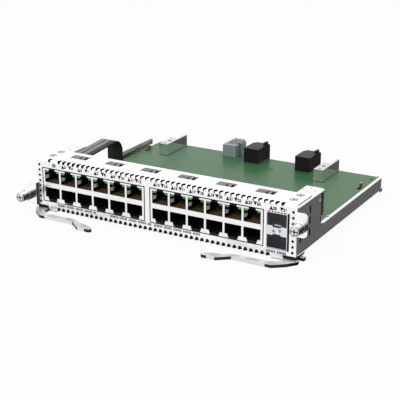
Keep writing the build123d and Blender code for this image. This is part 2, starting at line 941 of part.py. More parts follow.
def port_chips():
    return group([block(x, x + chip_size, chip_row, chip_row + chip_size, seat,
                        seat + chip_height) for x in chip_places])


def chip_crystals():
    pieces = []
    y = chip_row + crystal_length
    for place in chip_places:
        x = place + chip_size + crystal_gap
        pieces.append(block(x, x + crystal_width, y, y + crystal_length, seat,
                            seat + crystal_height))
    return group(pieces)


def power_coils():
    return group([block(x, x + coil_size, coil_row, coil_row + coil_size, seat,
                        seat + coil_height) for x in coil_places])


def capacitors():
    last = coil_places[-1] + coil_size
    step = 2 * capacitor_radius + capacitor_gap
    return group([rod(capacitor_radius, (last - capacitor_radius - i * step, capacitor_row,
                                         seat), capacitor_height)
                  for i in range(capacitor_count)])


# Connectors at the rear edge

def guide_bracket(x):
    t = guide_sheet
    top = seat + guide_height
    y1 = guide_front + guide_length
    piece = block(x, x + guide_width, guide_front, y1, seat, top)
    piece -= block(x + t, x + guide_width - t, guide_front + t, y1 + 1, seat - 1, top - t)
    x1 = x + guide_width
    mouth = [(x - 1, guide_front + guide_top_length), (x1 - guide_lip_start,
              guide_front + guide_top_length), (x1 - guide_lip_end, y1 + 1), (x - 1, y1 + 1)]
    piece -= prism_z(mouth, seat - 1, top + 1)
    for y, radius in guide_holes:
        piece -= rod(radius, (x + guide_width / 2, guide_front + y, top - 2 * t), 3 * t)
    return piece


def skirt(x0, x1, y1, top):
    """A connector's overhang behind the board's rear edge, down past the board."""
    return block(x0, x1, board_rear + connector_skirt_gap, y1, board_bottom - connector_skirt, top)


def backplane_roof():
    """The upper side of the hollow that the pins stand in."""
    return seat + backplane_height - backplane_step_drop - backplane_wall


def backplane_connector(x):
    y1 = backplane_front + backplane_length
    top = seat + backplane_height
    x1 = x + backplane_width
    step = y1 - backplane_step
    piece = block(x, x1, backplane_front, step, seat, top)
    cut_x, cut_y = backplane_corner
    low = top - backplane_step_drop
    corner = [(x - 1, step - cut_y), (x, step - cut_y), (x + cut_x, step),
              (x + cut_x, step + 1), (x - 1, step + 1)]
    piece -= prism_z(corner, low, top + 1)
    piece += skirt(x, x1, y1, low)
    key_right = x1 - backplane_key_inset
    piece += block(key_right - backplane_key_width, key_right, step - backplane_key_length, step,
                   top - 1, top + backplane_key_rise)
    w = backplane_wall
    piece -= block(x + w, x1 - w, y1 - backplane_socket_depth, y1 + 1, seat + w,
                   backplane_roof())
    return piece


def backplane_pins():
    pieces = []
    y0 = backplane_front + backplane_length - backplane_socket_depth
    half = backplane_pin / 2
    for x in (backplane_left_x, backplane_right_x):
        step_x = (backplane_width - 2 * backplane_wall) / pin_columns
        step_z = (backplane_roof() - seat - backplane_wall) / pin_rows
        for i in range(pin_columns):
            for k in range(pin_rows):
                px = x + backplane_wall + (i + 0.5) * step_x
                pz = seat + backplane_wall + (k + 0.5) * step_z
                pieces.append(block(px - half, px + half, y0, y0 + backplane_pin_reach,
                                    pz - half, pz + half))
    return group(pieces)


def power_slots():
    return [power_x + power_slot_start + i * power_slot_pitch for i in range(power_slot_count)]


def power_connector():
    y1 = power_front + power_length
    top = seat + power_height
    x1 = power_x + power_width
    piece = block(power_x, x1, power_front, y1, seat, top) + skirt(power_x, x1, y1, top)
    for x in power_slots():
        middle = x + power_slot_width / 2
        piece += block(middle - power_rib / 2, middle + power_rib / 2, power_front + 5.0, y1,
                       top - 0.5, top + 1.0)
        piece -= block(x, x + power_slot_width, y1 - power_slot_depth, y1 + 1, seat + 1.6,
                       top - 1.4)
    piece -= block(x1 - 1.5, x1 + 1, power_front + 6.0, power_front + 8.6, seat - 1, top + 2)
    return piece


def power_blades():
    y1 = power_front + power_length
    top = seat + power_height
    half = power_blade / 2
    pieces = []
    for x in power_slots():
        middle = x + power_slot_width / 2
        pieces.append(block(middle - half, middle + half, y1 - power_slot_depth, y1 - 1.5,
                            seat + 2.2, top - 2.0))
    return group(pieces)


# Levers

def lever():
    """The left-hand lever: hub, outer claw, elbow, long bar and a finger hook at its tip."""
    px = lever_pivot_inset
    py = lever_pivot_row
    front = lever_bar_front
    rear = front + lever_bar_width
    tip = lever_length
    hook = front - lever_hook_reach
    hub = lever_hub_radius
    outline = [(px - hub, py), (px - hub, 2.4), *lever_jaw, (lever_elbow_front, front),
               (tip - lever_bend_front, front), (tip - lever_finger_front, hook + 0.2),
               (tip - lever_tip_corner, hook), (tip, hook + 1.9),
               (tip - 4.0, hook + lever_tip_width), (tip - lever_finger_rear, front + 1.4),
               (tip - lever_bend_rear, rear), (lever_elbow_rear, rear),
               (px + hub, lever_throat), (px + hub, py)]
    radii = [0.4, 0.6, 0.6, 2.0, 4.0, 4.0, 2.0, 3.0, 1.0, 1.0, 3.0, 6.0, 5.0, 4.0, 2.0, 0.4]
    arm = make_face(FilletPolyline(*outline, radius=radii, close=True))
    plate = arm + Pos(px, py) * Circle(hub)
    claw_middle = (lever_claw_start + px) / 2
    claw = Pos(claw_middle, lever_claw_row) * Rectangle(px - lever_claw_start, lever_claw_width)
    plate += fillet(claw.vertices().group_by(Axis.X)[0], 0.8)
    piece = extrude(plate, amount=lever_thickness).moved(Location((0, 0, -lever_drop)))
    piece -= rod(lever_pin_radius + running_gap, (px, py, -lever_drop - 1), lever_thickness + 2)
    piece -= rod(lever_pin_head_radius + running_gap, (px, py, -lever_drop - 1),
                 1 + lever_pin_head + lever_shoulder_gap)
    return piece


def pivot_pins():
    """Stepped rivets: a head in the lever's underside, a shank, a shoulder and an upset end."""
    pieces = []
    shoulder = lever_top + lever_shoulder_gap
    for x in (lever_pivot_inset, panel_width - lever_pivot_inset):
        y = lever_pivot_row
        pin = rod(lever_pin_head_radius, (x, y, -lever_drop), lever_pin_head)
        pin += rod(lever_pin_radius, (x, y, -lever_drop), lever_drop + shoulder)
        pin += rod(lever_shoulder_radius, (x, y, shoulder), rail_bottom - shoulder)
        pin += rod(lever_rivet_radius, (x, y, rail_bottom), sheet)
        pin += rod(lever_rivet_head_radius, (x, y, rail_flange_top), lever_rivet_head)
        pieces.append(pin)
    return group(pieces)


# Captive screws on an ear's axis: a collar pressed in the ear, a knob with its bolt that
# slides and turns in the collar, a washer inside the knob and a spring behind it

def collar(x, z):
    front = ear_front - collar_length
    piece = rod(collar_radius, (x, front, z), collar_length, "y")
    piece += rod(collar_shank_radius, (x, ear_front, z), sheet, "y")
    piece -= rod(knob_radius + knob_gap, (x, front - 1, z), collar_length + 1, "y")
    piece -= rod(bolt_thread_radius + knob_gap, (x, front, z), collar_length + 2 * sheet, "y")
    rim = piece.edges().filter_by(GeomType.CIRCLE).sort_by(Axis.Y)[:2]
    return chamfer(rim.sort_by(SortBy.RADIUS)[-1], 0.3)


def knob(x, z):
    length = knob_front - knob_tail
    piece = rod(knob_radius, (x, -knob_front, z), length, "y")
    rim = piece.edges().filter_by(GeomType.CIRCLE).sort_by(Axis.Y)[0]
    piece = fillet(rim, 0.6)
    piece -= rod(knob_radius - knob_wall, (x, -knob_front + knob_web, z), length, "y")
    piece -= rod(bolt_radius, (x, -knob_front - 1, z), length, "y")
    return piece


def captive_bolt(x, z):
    head_front = -knob_front - bolt_head_height
    head = rod(bolt_head_radius, (x, head_front, z), bolt_head_height, "y")
    rim = head.edges().filter_by(GeomType.CIRCLE).sort_by(Axis.Y)[0]
    head = fillet(rim, 0.7)
    thread_end = ear_back + bolt_tip
    thread_start = thread_end - bolt_thread_length
    shank = rod(bolt_radius, (x, -knob_front, z), knob_front + thread_start, "y")
    thread = rod(bolt_thread_radius, (x, thread_start, z), bolt_thread_length, "y")
    tip = thread.edges().filter_by(GeomType.CIRCLE).sort_by(Axis.Y)[-1]
    piece = head + shank + chamfer(tip, 0.4)
    half_length = bolt_slot_length / 2
    half_width = bolt_slot_width / 2
    for a, b in ((half_length, half_width), (half_width, half_length)):
        piece -= block(x - a, x + a, head_front - 1, head_front + bolt_slot_depth, z - b, z + b)
    return piece


def washer_front():
    """Where the washer lies inside the knob, against its web."""
    return -knob_front + knob_web + running_gap


def washer(x, z):
    piece = rod(washer_radius, (x, washer_front(), z), washer_thickness, "y")
    return piece - rod(bolt_radius + running_gap, (x, washer_front() - 1, z), 3, "y")


def spring_sleeve(x, z):
    """The coil spring's outer form at its driven-in length, seated at the collar's back."""
    front = washer_front() + washer_thickness + screw_travel + 0.1
    length = ear_front - 0.1 - front
    piece = rod(washer_radius - 0.1, (x, front, z), length, "y")
    return piece - rod(bolt_thread_radius + 0.2, (x, front - 1, z), length + 2, "y")


# Everything by node name

left_cable_x, right_cable_x = cable_lefts()

nodes = {
    "front_panel": front_panel(),
    "top_gasket_fingers": top_gasket(),
    "panel_gasket_strips": bend_strips(),
    "right_side_rail": rail(right_screw[1]),
    "left_side_rail": mirrored(rail(left_screw[1])),
    "panel_rivets": rivets(),
    "circuit_board": circuit_board(),
    "board_standoffs": standoffs(),
    "board_screws": board_screws(),
    "board_pins": board_pins(),
    "left_jack_shield": jack_shield(left_group),
    "right_jack_shield": jack_shield(right_group),
    "left_jack_housing": jack_housing(left_group),
    "right_jack_housing": jack_housing(right_group),
    "left_jack_contacts": jack_contacts(left_group),
    "right_jack_contacts": jack_contacts(right_group),
    "left_jack_springs": jack_springs(left_group),
    "right_jack_springs": jack_springs(right_group),
    "left_light_pipes": light_pipes(left_group),
    "right_light_pipes": light_pipes(right_group),
    "module_cage": module_cage(),
    "module_sockets": module_sockets(),
    "module_light_pipes": cage_light_pipes(),
    "module_latch_springs": latch_springs(),
    "module_gasket": cage_gasket(),
    "status_board": status_board(),
    "status_light": status_light(),
    "status_cable_header": status_header(),
    "main_cable_header": main_header(),
    "left_jumper_cable": jumper_cable(left_cable_x),
    "right_jumper_cable": jumper_cable(right_cable_x),
    "jumper_plugs": cable_plugs(),
    "port_chips": port_chips(),
    "chip_crystals": chip_crystals(),
    "power_coils": power_coils(),
    "board_capacitors": capacitors(),
    "left_guide_bracket": guide_bracket(left_guide_x),
    "right_guide_bracket": guide_bracket(right_guide_x),
    "left_backplane_connector": backplane_connector(backplane_left_x),
    "right_backplane_connector": backplane_connector(backplane_right_x),
    "backplane_pins": backplane_pins(),
    "power_connector": power_connector(),
    "power_blades": power_blades(),
    "left_lever": lever(),
    "right_lever": mirrored(lever()),
    "lever_pivot_pins": pivot_pins(),
    "left_screw_collar": collar(*left_screw),
    "right_screw_collar": collar(*right_screw),
    "left_screw_knob": knob(*left_screw),
    "right_screw_knob": knob(*right_screw),
    "left_captive_screw": captive_bolt(*left_screw),
    "right_captive_screw": captive_bolt(*right_screw),
    "left_screw_washer": washer(*left_screw),
    "right_screw_washer": washer(*right_screw),
    "screw_springs": group([spring_sleeve(*left_screw), spring_sleeve(*right_screw)]),
}

origin = Location((-panel_width / 2, 0, lever_drop))
for name, shape in nodes.items():
    export_step(shape.moved(origin), f"parts/{name}.step")
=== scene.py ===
import math
import bmesh
import bpy
from mathutils import Matrix, Vector


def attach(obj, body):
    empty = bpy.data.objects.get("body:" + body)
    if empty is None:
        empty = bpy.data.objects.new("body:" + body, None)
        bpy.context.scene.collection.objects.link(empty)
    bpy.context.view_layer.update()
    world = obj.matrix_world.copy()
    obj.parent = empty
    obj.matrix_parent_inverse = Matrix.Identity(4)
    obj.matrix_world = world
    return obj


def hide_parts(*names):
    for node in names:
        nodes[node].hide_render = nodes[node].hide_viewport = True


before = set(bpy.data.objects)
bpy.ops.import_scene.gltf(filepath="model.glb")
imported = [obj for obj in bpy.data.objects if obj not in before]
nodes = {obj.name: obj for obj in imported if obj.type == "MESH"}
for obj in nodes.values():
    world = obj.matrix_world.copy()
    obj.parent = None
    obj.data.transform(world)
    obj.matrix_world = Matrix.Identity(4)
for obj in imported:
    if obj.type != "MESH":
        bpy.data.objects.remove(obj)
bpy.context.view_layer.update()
MM = 0.001

# The card is drawn in millimetres from its panel's lower left corner, as its source is.
PANEL_WIDTH = 205.6
PANEL_HEIGHT = 38.2
SHEET = 1.0
LEVER_DROP = 1.3
BEND_MIDDLE = 0.8

PORT_PITCH = 13.97
PORTS_PER_ROW = 6
GROUP_STARTS = (6.51, 97.04)
JACK_TOP = 31.5
UPPER_FLOOR = 21.2
CAGE_RIGHT = 198.6

VENT_RADIUS = 1.3
VENT_LENGTH = 3.7
VENT_SHIFT = 0.9
VENT_PITCH = 4.08
TOP_VENT_START = 19.8
TOP_VENT_COUNT = 44
LONE_VENT_X = 11.4
BOTTOM_VENT_START = 18.4
BOTTOM_VENT_COUNT = 42
SIDE_VENT_RADIUS = 0.78
SIDE_VENT_PITCH = 3.96
SIDE_VENT_COUNT = 8
SIDE_VENT_START = 6.0
SIDE_VENT_INSET = 2.6
FINGER_START = 21.0
FINGER_PITCH = 29.65
RIVET_PLACES = ((7.2, 10.7), (7.2, 20.3), (198.4, 10.7), (198.4, 20.3))

PLATE_TOP = 37.2
RAIL_TOP = 13.6
WALL_SLOT_WIDTH = 1.7
WALL_SLOT_HEIGHT = 5.0
WALL_SLOTS = ((5.2, 11.6), (12.4, 11.6), (19.6, 11.6), (19.6, 19.4), (19.6, 27.2))
DIMPLE_INSET = 7.7
DIMPLE_ROW = 34.8
DIMPLE_SPREAD = 4.0

BOARD_TOP = 8.6
BOARD_BOTTOM = 7.0
BOARD_SLOTS = ((194.55, 130.0, 196.25, 134.5), (6.75, 134.0, 8.45, 138.5),
               (194.4, 156.0, 197.6, 157.0), (117.6, 140.0, 120.8, 141.0))
CHIP_STARTS = (58.0, 98.0, 138.0)
CHIP_ROW = 56.0
CHIP_SIZE = 14.0
BACKPLANE_STARTS = (91.2, 135.8)
STRAP_STARTS = (13.2, 19.9)

# Measured from the nearer panel end: between these only the levers' turned upright faces get
# painted shade; outside them, all upright faces do.
LEVER_DARK_ENDS = (15.5, 54.5)
SCREW_PLACES = {"left": (-4.8, 11.4), "right": (210.4, 26.8)}
SCREW_FRONT = -14.6
CROSS_REACH = 1.7
CROSS_DEPTH = 0.9


def place(x, y, z):
    """Drawn millimetres to the frame's metres."""
    return Vector(((x - PANEL_WIDTH / 2) * MM, y * MM, (z + LEVER_DROP) * MM))


# Node groups

def group_tree(name, inputs, outputs):
    """A shader node group with named sockets; returns it with its input and output nodes."""
    tree = bpy.data.node_groups.new(name, "ShaderNodeTree")
    for label, kind, value in inputs:
        socket = tree.interface.new_socket(label, in_out="INPUT", socket_type=kind)
        socket.default_value = value
    for label, kind in outputs:
        tree.interface.new_socket(label, in_out="OUTPUT", socket_type=kind)
    return tree, tree.nodes.new("NodeGroupInput"), tree.nodes.new("NodeGroupOutput")


def wire(tree, pairs):
    """Links each output to its input."""
    for source, target in pairs:
        tree.links.new(source, target)


def reckon(tree, operation, *values):
    """One Math node; each value is a number or another node's output."""
    node = tree.nodes.new("ShaderNodeMath")
    node.operation = operation
    for index, value in enumerate(values):
        if isinstance(value, (int, float)):
            node.inputs[index].default_value = value
        else:
            tree.links.new(value, node.inputs[index])
    return node.outputs[0]


def parts_of(tree, vector):
    """The x, y and z of a vector."""
    split = tree.nodes.new("ShaderNodeSeparateXYZ")
    tree.links.new(vector, split.inputs[0])
    return split.outputs


def inside_box(tree, spot, low, high):
    """1 where a spot is between two corners; each holds three numbers or outputs."""
    mask = 1.0
    for value, least, most in zip(spot, low, high):
        above = reckon(tree, "GREATER_THAN", value, least)
        below = reckon(tree, "LESS_THAN", value, most)
        mask = reckon(tree, "MULTIPLY", mask, reckon(tree, "MULTIPLY", above, below))
    return mask


def mask_tree(name, *inputs):
    """A group that makes a mask of a vector; returns it, its input node and its mask socket."""
    vector = ("Vector", "NodeSocketVector", (0, 0, 0))
    tree, start, end = group_tree(name, (vector, *inputs), (("Mask", "NodeSocketFloat"),))
    return tree, start, end.inputs["Mask"]


def fine_grain():
    """Slow tone drift, fine roughness mottling and a shallow normal for any hard finish."""
    inputs = (("Vector", "NodeSocketVector", (0, 0, 0)), ("Depth", "NodeSocketFloat", 0.05),
              ("Roughness", "NodeSocketFloat", 0.3), ("Spread", "NodeSocketFloat", 0.08),
              ("Light Tone", "NodeSocketColor", (1, 1, 1, 1)),
              ("Dark Tone", "NodeSocketColor", (0.9, 0.9, 0.9, 1)))
    outputs = (("Color", "NodeSocketColor"), ("Roughness", "NodeSocketFloat"),
               ("Normal", "NodeSocketVector"))
    tree, start, end = group_tree("fine_grain", inputs, outputs)
    drift = tree.nodes.new("ShaderNodeTexNoise")
    drift.inputs["Scale"].default_value = 45.0
    drift.inputs["Detail"].default_value = 4.0
    grain = tree.nodes.new("ShaderNodeTexNoise")
    grain.inputs["Scale"].default_value = 900.0
    grain.inputs["Detail"].default_value = 3.0
    tone = tree.nodes.new("ShaderNodeMix")
    tone.data_type = "RGBA"
    swing = reckon(tree, "SUBTRACT", grain.outputs["Fac"], 0.5)
    mottled = reckon(tree, "MULTIPLY_ADD", swing, start.outputs["Spread"],
                     start.outputs["Roughness"])
    bump = tree.nodes.new("ShaderNodeBump")
    bump.inputs["Distance"].default_value = 0.1 * MM
    wire(tree, (
        (start.outputs["Vector"], drift.inputs["Vector"]),
        (start.outputs["Vector"], grain.inputs["Vector"]),
        (drift.outputs["Fac"], tone.inputs["Factor"]),
        (start.outputs["Dark Tone"], tone.inputs["A"]),
        (start.outputs["Light Tone"], tone.inputs["B"]),
        (tone.outputs["Result"], end.inputs["Color"]),
        (mottled, end.inputs["Roughness"]),
        (grain.outputs["Fac"], bump.inputs["Height"]),
        (start.outputs["Depth"], bump.inputs["Strength"]),
        (bump.outputs["Normal"], end.inputs["Normal"]),
    ))
    return tree


def hole_row(tree, along, first, count, pitch, across, radius, straight=0.0):
    """1 inside a row of holes, drawn out across the row by a straight part."""
    if straight:
        reach = reckon(tree, "SUBTRACT", reckon(tree, "ABSOLUTE", across), straight / 2)
        across = reckon(tree, "MAXIMUM", reach, 0.0)
    last = first + (count - 1) * pitch
    from_first = reckon(tree, "SUBTRACT", along, first)
    near = reckon(tree, "WRAP", from_first, pitch / 2, -pitch / 2)
    square = reckon(tree, "MULTIPLY", near, near)
    total = reckon(tree, "MULTIPLY_ADD", across, across, square)
    inside = reckon(tree, "LESS_THAN", total, radius * radius)
    after = reckon(tree, "GREATER_THAN", along, first - radius)
    before = reckon(tree, "LESS_THAN", along, last + radius)
    return reckon(tree, "MULTIPLY", reckon(tree, "MULTIPLY", inside, after), before)


def vent_shade():
    """1 on the walls of the panel's vents, where shade is painted: both slanted rows, the lone one
    and the side rows; round the bottom row it reaches out onto the face, so those vents look
    larger.
    """
    tree, start, mask_out = mask_tree("vent_shade")
    x, y, z = parts_of(tree, start.outputs["Vector"])
    top = place(TOP_VENT_START, BEND_MIDDLE + VENT_SHIFT, PANEL_HEIGHT - BEND_MIDDLE)
    bottom = place(BOTTOM_VENT_START, BEND_MIDDLE, BEND_MIDDLE)
    lone = place(LONE_VENT_X, 0, 0).x
    side = place(0, 0, SIDE_VENT_START).z
    side_middle = (PANEL_WIDTH / 2 - SIDE_VENT_INSET) * MM
    slant = math.sqrt(0.5)
    bottom_drop = 0.2 * MM
    top_sum = reckon(tree, "SUBTRACT", reckon(tree, "ADD", y, z), top.y + top.z)
    top_off = reckon(tree, "MULTIPLY", top_sum, slant)
    bottom_sum = reckon(tree, "SUBTRACT", reckon(tree, "SUBTRACT", y, z), bottom.y - bottom.z)
    bottom_off = reckon(tree, "MULTIPLY_ADD", bottom_sum, slant, bottom_drop)
    side_off = reckon(tree, "SUBTRACT", reckon(tree, "ABSOLUTE", x), side_middle)
    pitch = VENT_PITCH * MM
    top_radius = (VENT_RADIUS + 0.06) * MM
    bottom_radius = (VENT_RADIUS + 0.22) * MM
    side_radius = (SIDE_VENT_RADIUS + 0.2) * MM
    straight = (VENT_LENGTH - 2 * VENT_RADIUS) * MM
    rows = (
        hole_row(tree, x, top.x, TOP_VENT_COUNT, pitch, top_off, top_radius, straight),
        hole_row(tree, x, bottom.x, BOTTOM_VENT_COUNT, pitch, bottom_off, bottom_radius,
                 straight + 2 * bottom_drop),
        hole_row(tree, x, lone, 1, pitch, top_off, top_radius, straight),
        hole_row(tree, z, side, SIDE_VENT_COUNT, SIDE_VENT_PITCH * MM, side_off, side_radius),
    )
    mask = rows[0]
    for row in rows[1:]:
        mask = reckon(tree, "MAXIMUM", mask, row)
    tree.links.new(mask, mask_out)
    return tree


def box_shade():
    """1 inside a box between two corners."""
    corners = [(label, "NodeSocketVector", (0, 0, 0)) for label in ("Low", "High")]
    tree, start, mask_out = mask_tree("box_shade", *corners)
    spot = parts_of(tree, start.outputs["Vector"])
    low = parts_of(tree, start.outputs["Low"])
    high = parts_of(tree, start.outputs["High"])
    tree.links.new(inside_box(tree, spot, low, high), mask_out)
    return tree


def side_shade():
    """1 where a face looks along x, given its normal; it paints shade on the port walls of the jack
    shields.
    """
    tree, start, mask_out = mask_tree("side_shade")
    x = parts_of(tree, start.outputs["Vector"])["X"]
    least = 0.7
    tree.links.new(reckon(tree, "GREATER_THAN", reckon(tree, "ABSOLUTE", x), least), mask_out)
    return tree


def slot_shade():
    """1 on the upright walls of the slots in both brackets' sides and on a rim round them on the
    outer face: painted shade.
    """
    tree, start, mask_out = mask_tree("slot_shade")
    x, y, z = parts_of(tree, start.outputs["Vector"])
    beside_margin = 0.3
    above_margin = 0.15
    mask = 0.0
    for slot_front, low in WALL_SLOTS:
        middle = place(0, slot_front + WALL_SLOT_WIDTH / 2,
                       low + above_margin + WALL_SLOT_HEIGHT / 2)
        beside = reckon(tree, "ABSOLUTE", reckon(tree, "SUBTRACT", y, middle.y))
        above = reckon(tree, "ABSOLUTE", reckon(tree, "SUBTRACT", z, middle.z))
        near = reckon(tree, "LESS_THAN", beside, (WALL_SLOT_WIDTH / 2 + beside_margin) * MM)
        level = reckon(tree, "LESS_THAN", above, (WALL_SLOT_HEIGHT / 2 + above_margin) * MM)
        mask = reckon(tree, "MAXIMUM", mask, reckon(tree, "MULTIPLY", near, level))
    wall = (PANEL_WIDTH / 2 - SHEET - beside_margin) * MM
    outer = reckon(tree, "GREATER_THAN", reckon(tree, "ABSOLUTE", x), wall)
    tree.links.new(reckon(tree, "MULTIPLY", mask, outer), mask_out)
    return tree


def turned_away():
    """1 where a face looks to the right or down, fading out round it, given its normal: where
    painted shade goes on the screws.
    """
    tree, start, mask_out = mask_tree("turned_away")
    normal = parts_of(tree, start.outputs["Vector"])
    rightward, downward = 0.85, 0.6
    least, slope, most = 0.05, 2.2, 0.97
    lean = reckon(tree, "SUBTRACT", reckon(tree, "MULTIPLY", normal["X"], rightward),
                  reckon(tree, "MULTIPLY", normal["Z"], downward))
    share = reckon(tree, "MULTIPLY", reckon(tree, "SUBTRACT", lean, least), slope)
    kept = reckon(tree, "MINIMUM", reckon(tree, "MAXIMUM", share, 0.0), most)
    tree.links.new(kept, mask_out)
    return tree


def line_row():
    """1 on thin lines along y that repeat in x."""
    sizes = (("First", 0.0), ("Pitch", 0.0015), ("Width", 0.0005))
    inputs = [(label, "NodeSocketFloat", value) for label, value in sizes]
    tree, start, mask_out = mask_tree("line_row", *inputs)
    x = parts_of(tree, start.outputs["Vector"])["X"]
    offset = reckon(tree, "SUBTRACT", x, start.outputs["First"])
    phase = reckon(tree, "FRACT", reckon(tree, "DIVIDE", offset, start.outputs["Pitch"]))
    share = reckon(tree, "DIVIDE", start.outputs["Width"], start.outputs["Pitch"])
    tree.links.new(reckon(tree, "LESS_THAN", phase, share), mask_out)
    return tree


FINE_GRAIN = fine_grain()
VENT_SHADE = vent_shade()
BOX_SHADE = box_shade()
SIDE_SHADE = side_shade()
SLOT_SHADE = slot_shade()
TURNED_AWAY_SHADE = turned_away()
LINE_ROW = line_row()


def finish(name, light, dark, roughness, metallic=0.0, spread=0.08, depth=0.05, **plain):
    """A hard finish: the fine grain group on a plain shader."""
    material = bpy.data.materials.new(name)
    material.use_nodes = True
    tree = material.node_tree
    shader = tree.nodes["Principled BSDF"]
    shader.inputs["Metallic"].default_value = metallic
    for label, value in plain.items():
        shader.inputs[label.replace("_", " ")].default_value = value
    grain = tree.nodes.new("ShaderNodeGroup")
    grain.node_tree = FINE_GRAIN
    grain.inputs["Roughness"].default_value = roughness
    grain.inputs["Spread"].default_value = spread
    grain.inputs["Depth"].default_value = depth
    grain.inputs["Light Tone"].default_value = (*light, 1)
    grain.inputs["Dark Tone"].default_value = (*dark, 1)
    spot = tree.nodes.new("ShaderNodeTexCoord")
    wire(tree, (
        (spot.outputs["Object"], grain.inputs["Vector"]),
        (grain.outputs["Color"], shader.inputs["Base Color"]),
        (grain.outputs["Roughness"], shader.inputs["Roughness"]),
        (grain.outputs["Normal"], shader.inputs["Normal"]),
    ))
    return material


def shaded(material, group, tone, source="Object", **values):
    """Paints a tone into a finish where a mask group of its source is 1, and takes its metal away
    there; most tones laid on with it are painted shade.
    """
    tree = material.node_tree
    coordinates = tree.nodes["Texture Coordinate"]
    if source == "World Normal":
        coordinates = tree.nodes.new("ShaderNodeNewGeometry")
        source = "Normal"
    shader = tree.nodes["Principled BSDF"]
    mask = tree.nodes.new("ShaderNodeGroup")
    mask.node_tree = group
    for label, value in values.items():
        mask.inputs[label].default_value = value
    mix = tree.nodes.new("ShaderNodeMix")
    mix.data_type = "RGBA"
    mix.inputs["B"].default_value = (*tone, 1)
    before = shader.inputs["Base Color"].links[0].from_socket
    metal = shader.inputs["Metallic"]
    metal_before = metal.links[0].from_socket if metal.links else metal.default_value
    bare = reckon(tree, "SUBTRACT", 1.0, mask.outputs["Mask"])
    wire(tree, (
        (coordinates.outputs[source], mask.inputs["Vector"]),
        (mask.outputs["Mask"], mix.inputs["Factor"]),
        (before, mix.inputs["A"]),
        (mix.outputs["Result"], shader.inputs["Base Color"]),
        (reckon(tree, "MULTIPLY", metal_before, bare), metal),
    ))


# Near black, used below mostly for painted shade.
BLACK = (0.010, 0.010, 0.010)
# The left ear's inner fold faces away from the light; it gets painted shade.
LEFT_EAR_FOLD_SHADE = ((0.3, -2.36, 2.8), (1.4, -0.02, 20.2))
rail_metal = finish("rail_metal", (0.97, 0.97, 0.97), (0.94, 0.94, 0.94), 0.22, 1.0,
                    spread=0.04, depth=0.003)
# Painted shade in the brackets' side slots.
shaded(rail_metal, SLOT_SHADE, BLACK)
shaded(rail_metal, BOX_SHADE, BLACK, Low=place(*LEFT_EAR_FOLD_SHADE[0]), High=place(*LEFT_EAR_FOLD_SHADE[1]))
panel_metal = finish("panel_metal", (0.97, 0.97, 0.97), (0.93, 0.94, 0.935), 0.42, 1.0,
                     spread=0.04, depth=0.02)
# Painted shade on the walls of the panel's vents.
shaded(panel_metal, VENT_SHADE, BLACK)
lever_metal = finish("lever_metal", (0.82, 0.84, 0.83), (0.78, 0.80, 0.79), 0.42, 0.5,
                     spread=0.03, depth=0.0)
# Near-black painted shade for the levers' upright faces that turn away and those at their ends.
lever_shade = finish("lever_shade", (0.014, 0.014, 0.014), (0.010, 0.010, 0.010), 0.35, 0.5,
                    spread=0.02, depth=0.0)
slot_shadow = finish("slot_shadow", (0.012, 0.012, 0.012), (0.008, 0.008, 0.008), 0.6,
                     Specular_IOR_Level=0.2)
strip_metal = finish("strip_metal", (0.78, 0.78, 0.77), (0.66, 0.66, 0.66), 0.30, 1.0)
# Near-black latch springs: painted shade of the notch they sit in.
latch_shade = finish("latch_shade", (0.035, 0.030, 0.06), (0.022, 0.018, 0.045), 0.3, 0.3)
gasket_metal = finish("gasket_metal", (0.32, 0.32, 0.32), (0.25, 0.25, 0.25), 0.34, 1.0)
# Painted shade in the slits between the gasket fingers, with a broad black band of it once every
# finger pitch.
shaded(gasket_metal, LINE_ROW, (0.16, 0.16, 0.16), First=place(FINGER_START + 1.3, 0, 0).x,
       Pitch=1.5 * MM, Width=0.4 * MM)
shaded(gasket_metal, LINE_ROW, BLACK, First=place(FINGER_START + 7.2, 0, 0).x,
       Pitch=FINGER_PITCH * MM, Width=1.6 * MM)
spring_metal = finish("spring_metal", (0.86, 0.86, 0.88), (0.78, 0.78, 0.80), 0.36, 0.35)
rivet_metal = finish("rivet_metal", (0.84, 0.84, 0.84), (0.76, 0.76, 0.76), 0.30, 1.0)
board_green = finish("board_green", (0.053, 0.166, 0.058), (0.043, 0.142, 0.048), 0.31,
                     spread=0.05, depth=0.02, Specular_IOR_Level=0.28)
SLOT_SHADE_RIM = 0.4
# Painted shade in the board's slots and on a rim round each.
for x0, y0, x1, y1 in BOARD_SLOTS:
    shaded(board_green, BOX_SHADE, BLACK, Low=place(x0 - SLOT_SHADE_RIM, y0 - SLOT_SHADE_RIM, BOARD_BOTTOM - 1),
           High=place(x1 + SLOT_SHADE_RIM, y1 + SLOT_SHADE_RIM, BOARD_TOP + 1))
shield_metal = finish("shield_metal", (0.93, 0.93, 0.92), (0.89, 0.89, 0.88), 0.26, 1.0,
                      spread=0.04, depth=0.02)
# Painted shade on the shields' port walls that look along x.
shaded(shield_metal, SIDE_SHADE, BLACK, "Normal")
jack_black = finish("jack_black", (0.012, 0.012, 0.013), (0.008, 0.008, 0.009), 0.45,
                    Specular_IOR_Level=0.25)
contact_gold = finish("contact_gold", (0.70, 0.50, 0.20), (0.55, 0.38, 0.14), 0.34, 0.6)
floor_brown = finish("floor_brown", (0.16, 0.115, 0.04), (0.10, 0.07, 0.025), 0.5)
light_green = finish("light_green", (0.06, 0.42, 0.08), (0.04, 0.34, 0.06), 0.22,
                     Coat_Weight=0.4)
cage_metal = finish("cage_metal", (0.80, 0.81, 0.83), (0.70, 0.72, 0.75), 0.22, 1.0)
# Pale sockets, far lighter than black plastic: painted light and reflections deep inside the cage.
socket_painted_light = finish("socket_painted_light", (0.95, 0.97, 0.98), (0.60, 0.64, 0.66), 0.4)


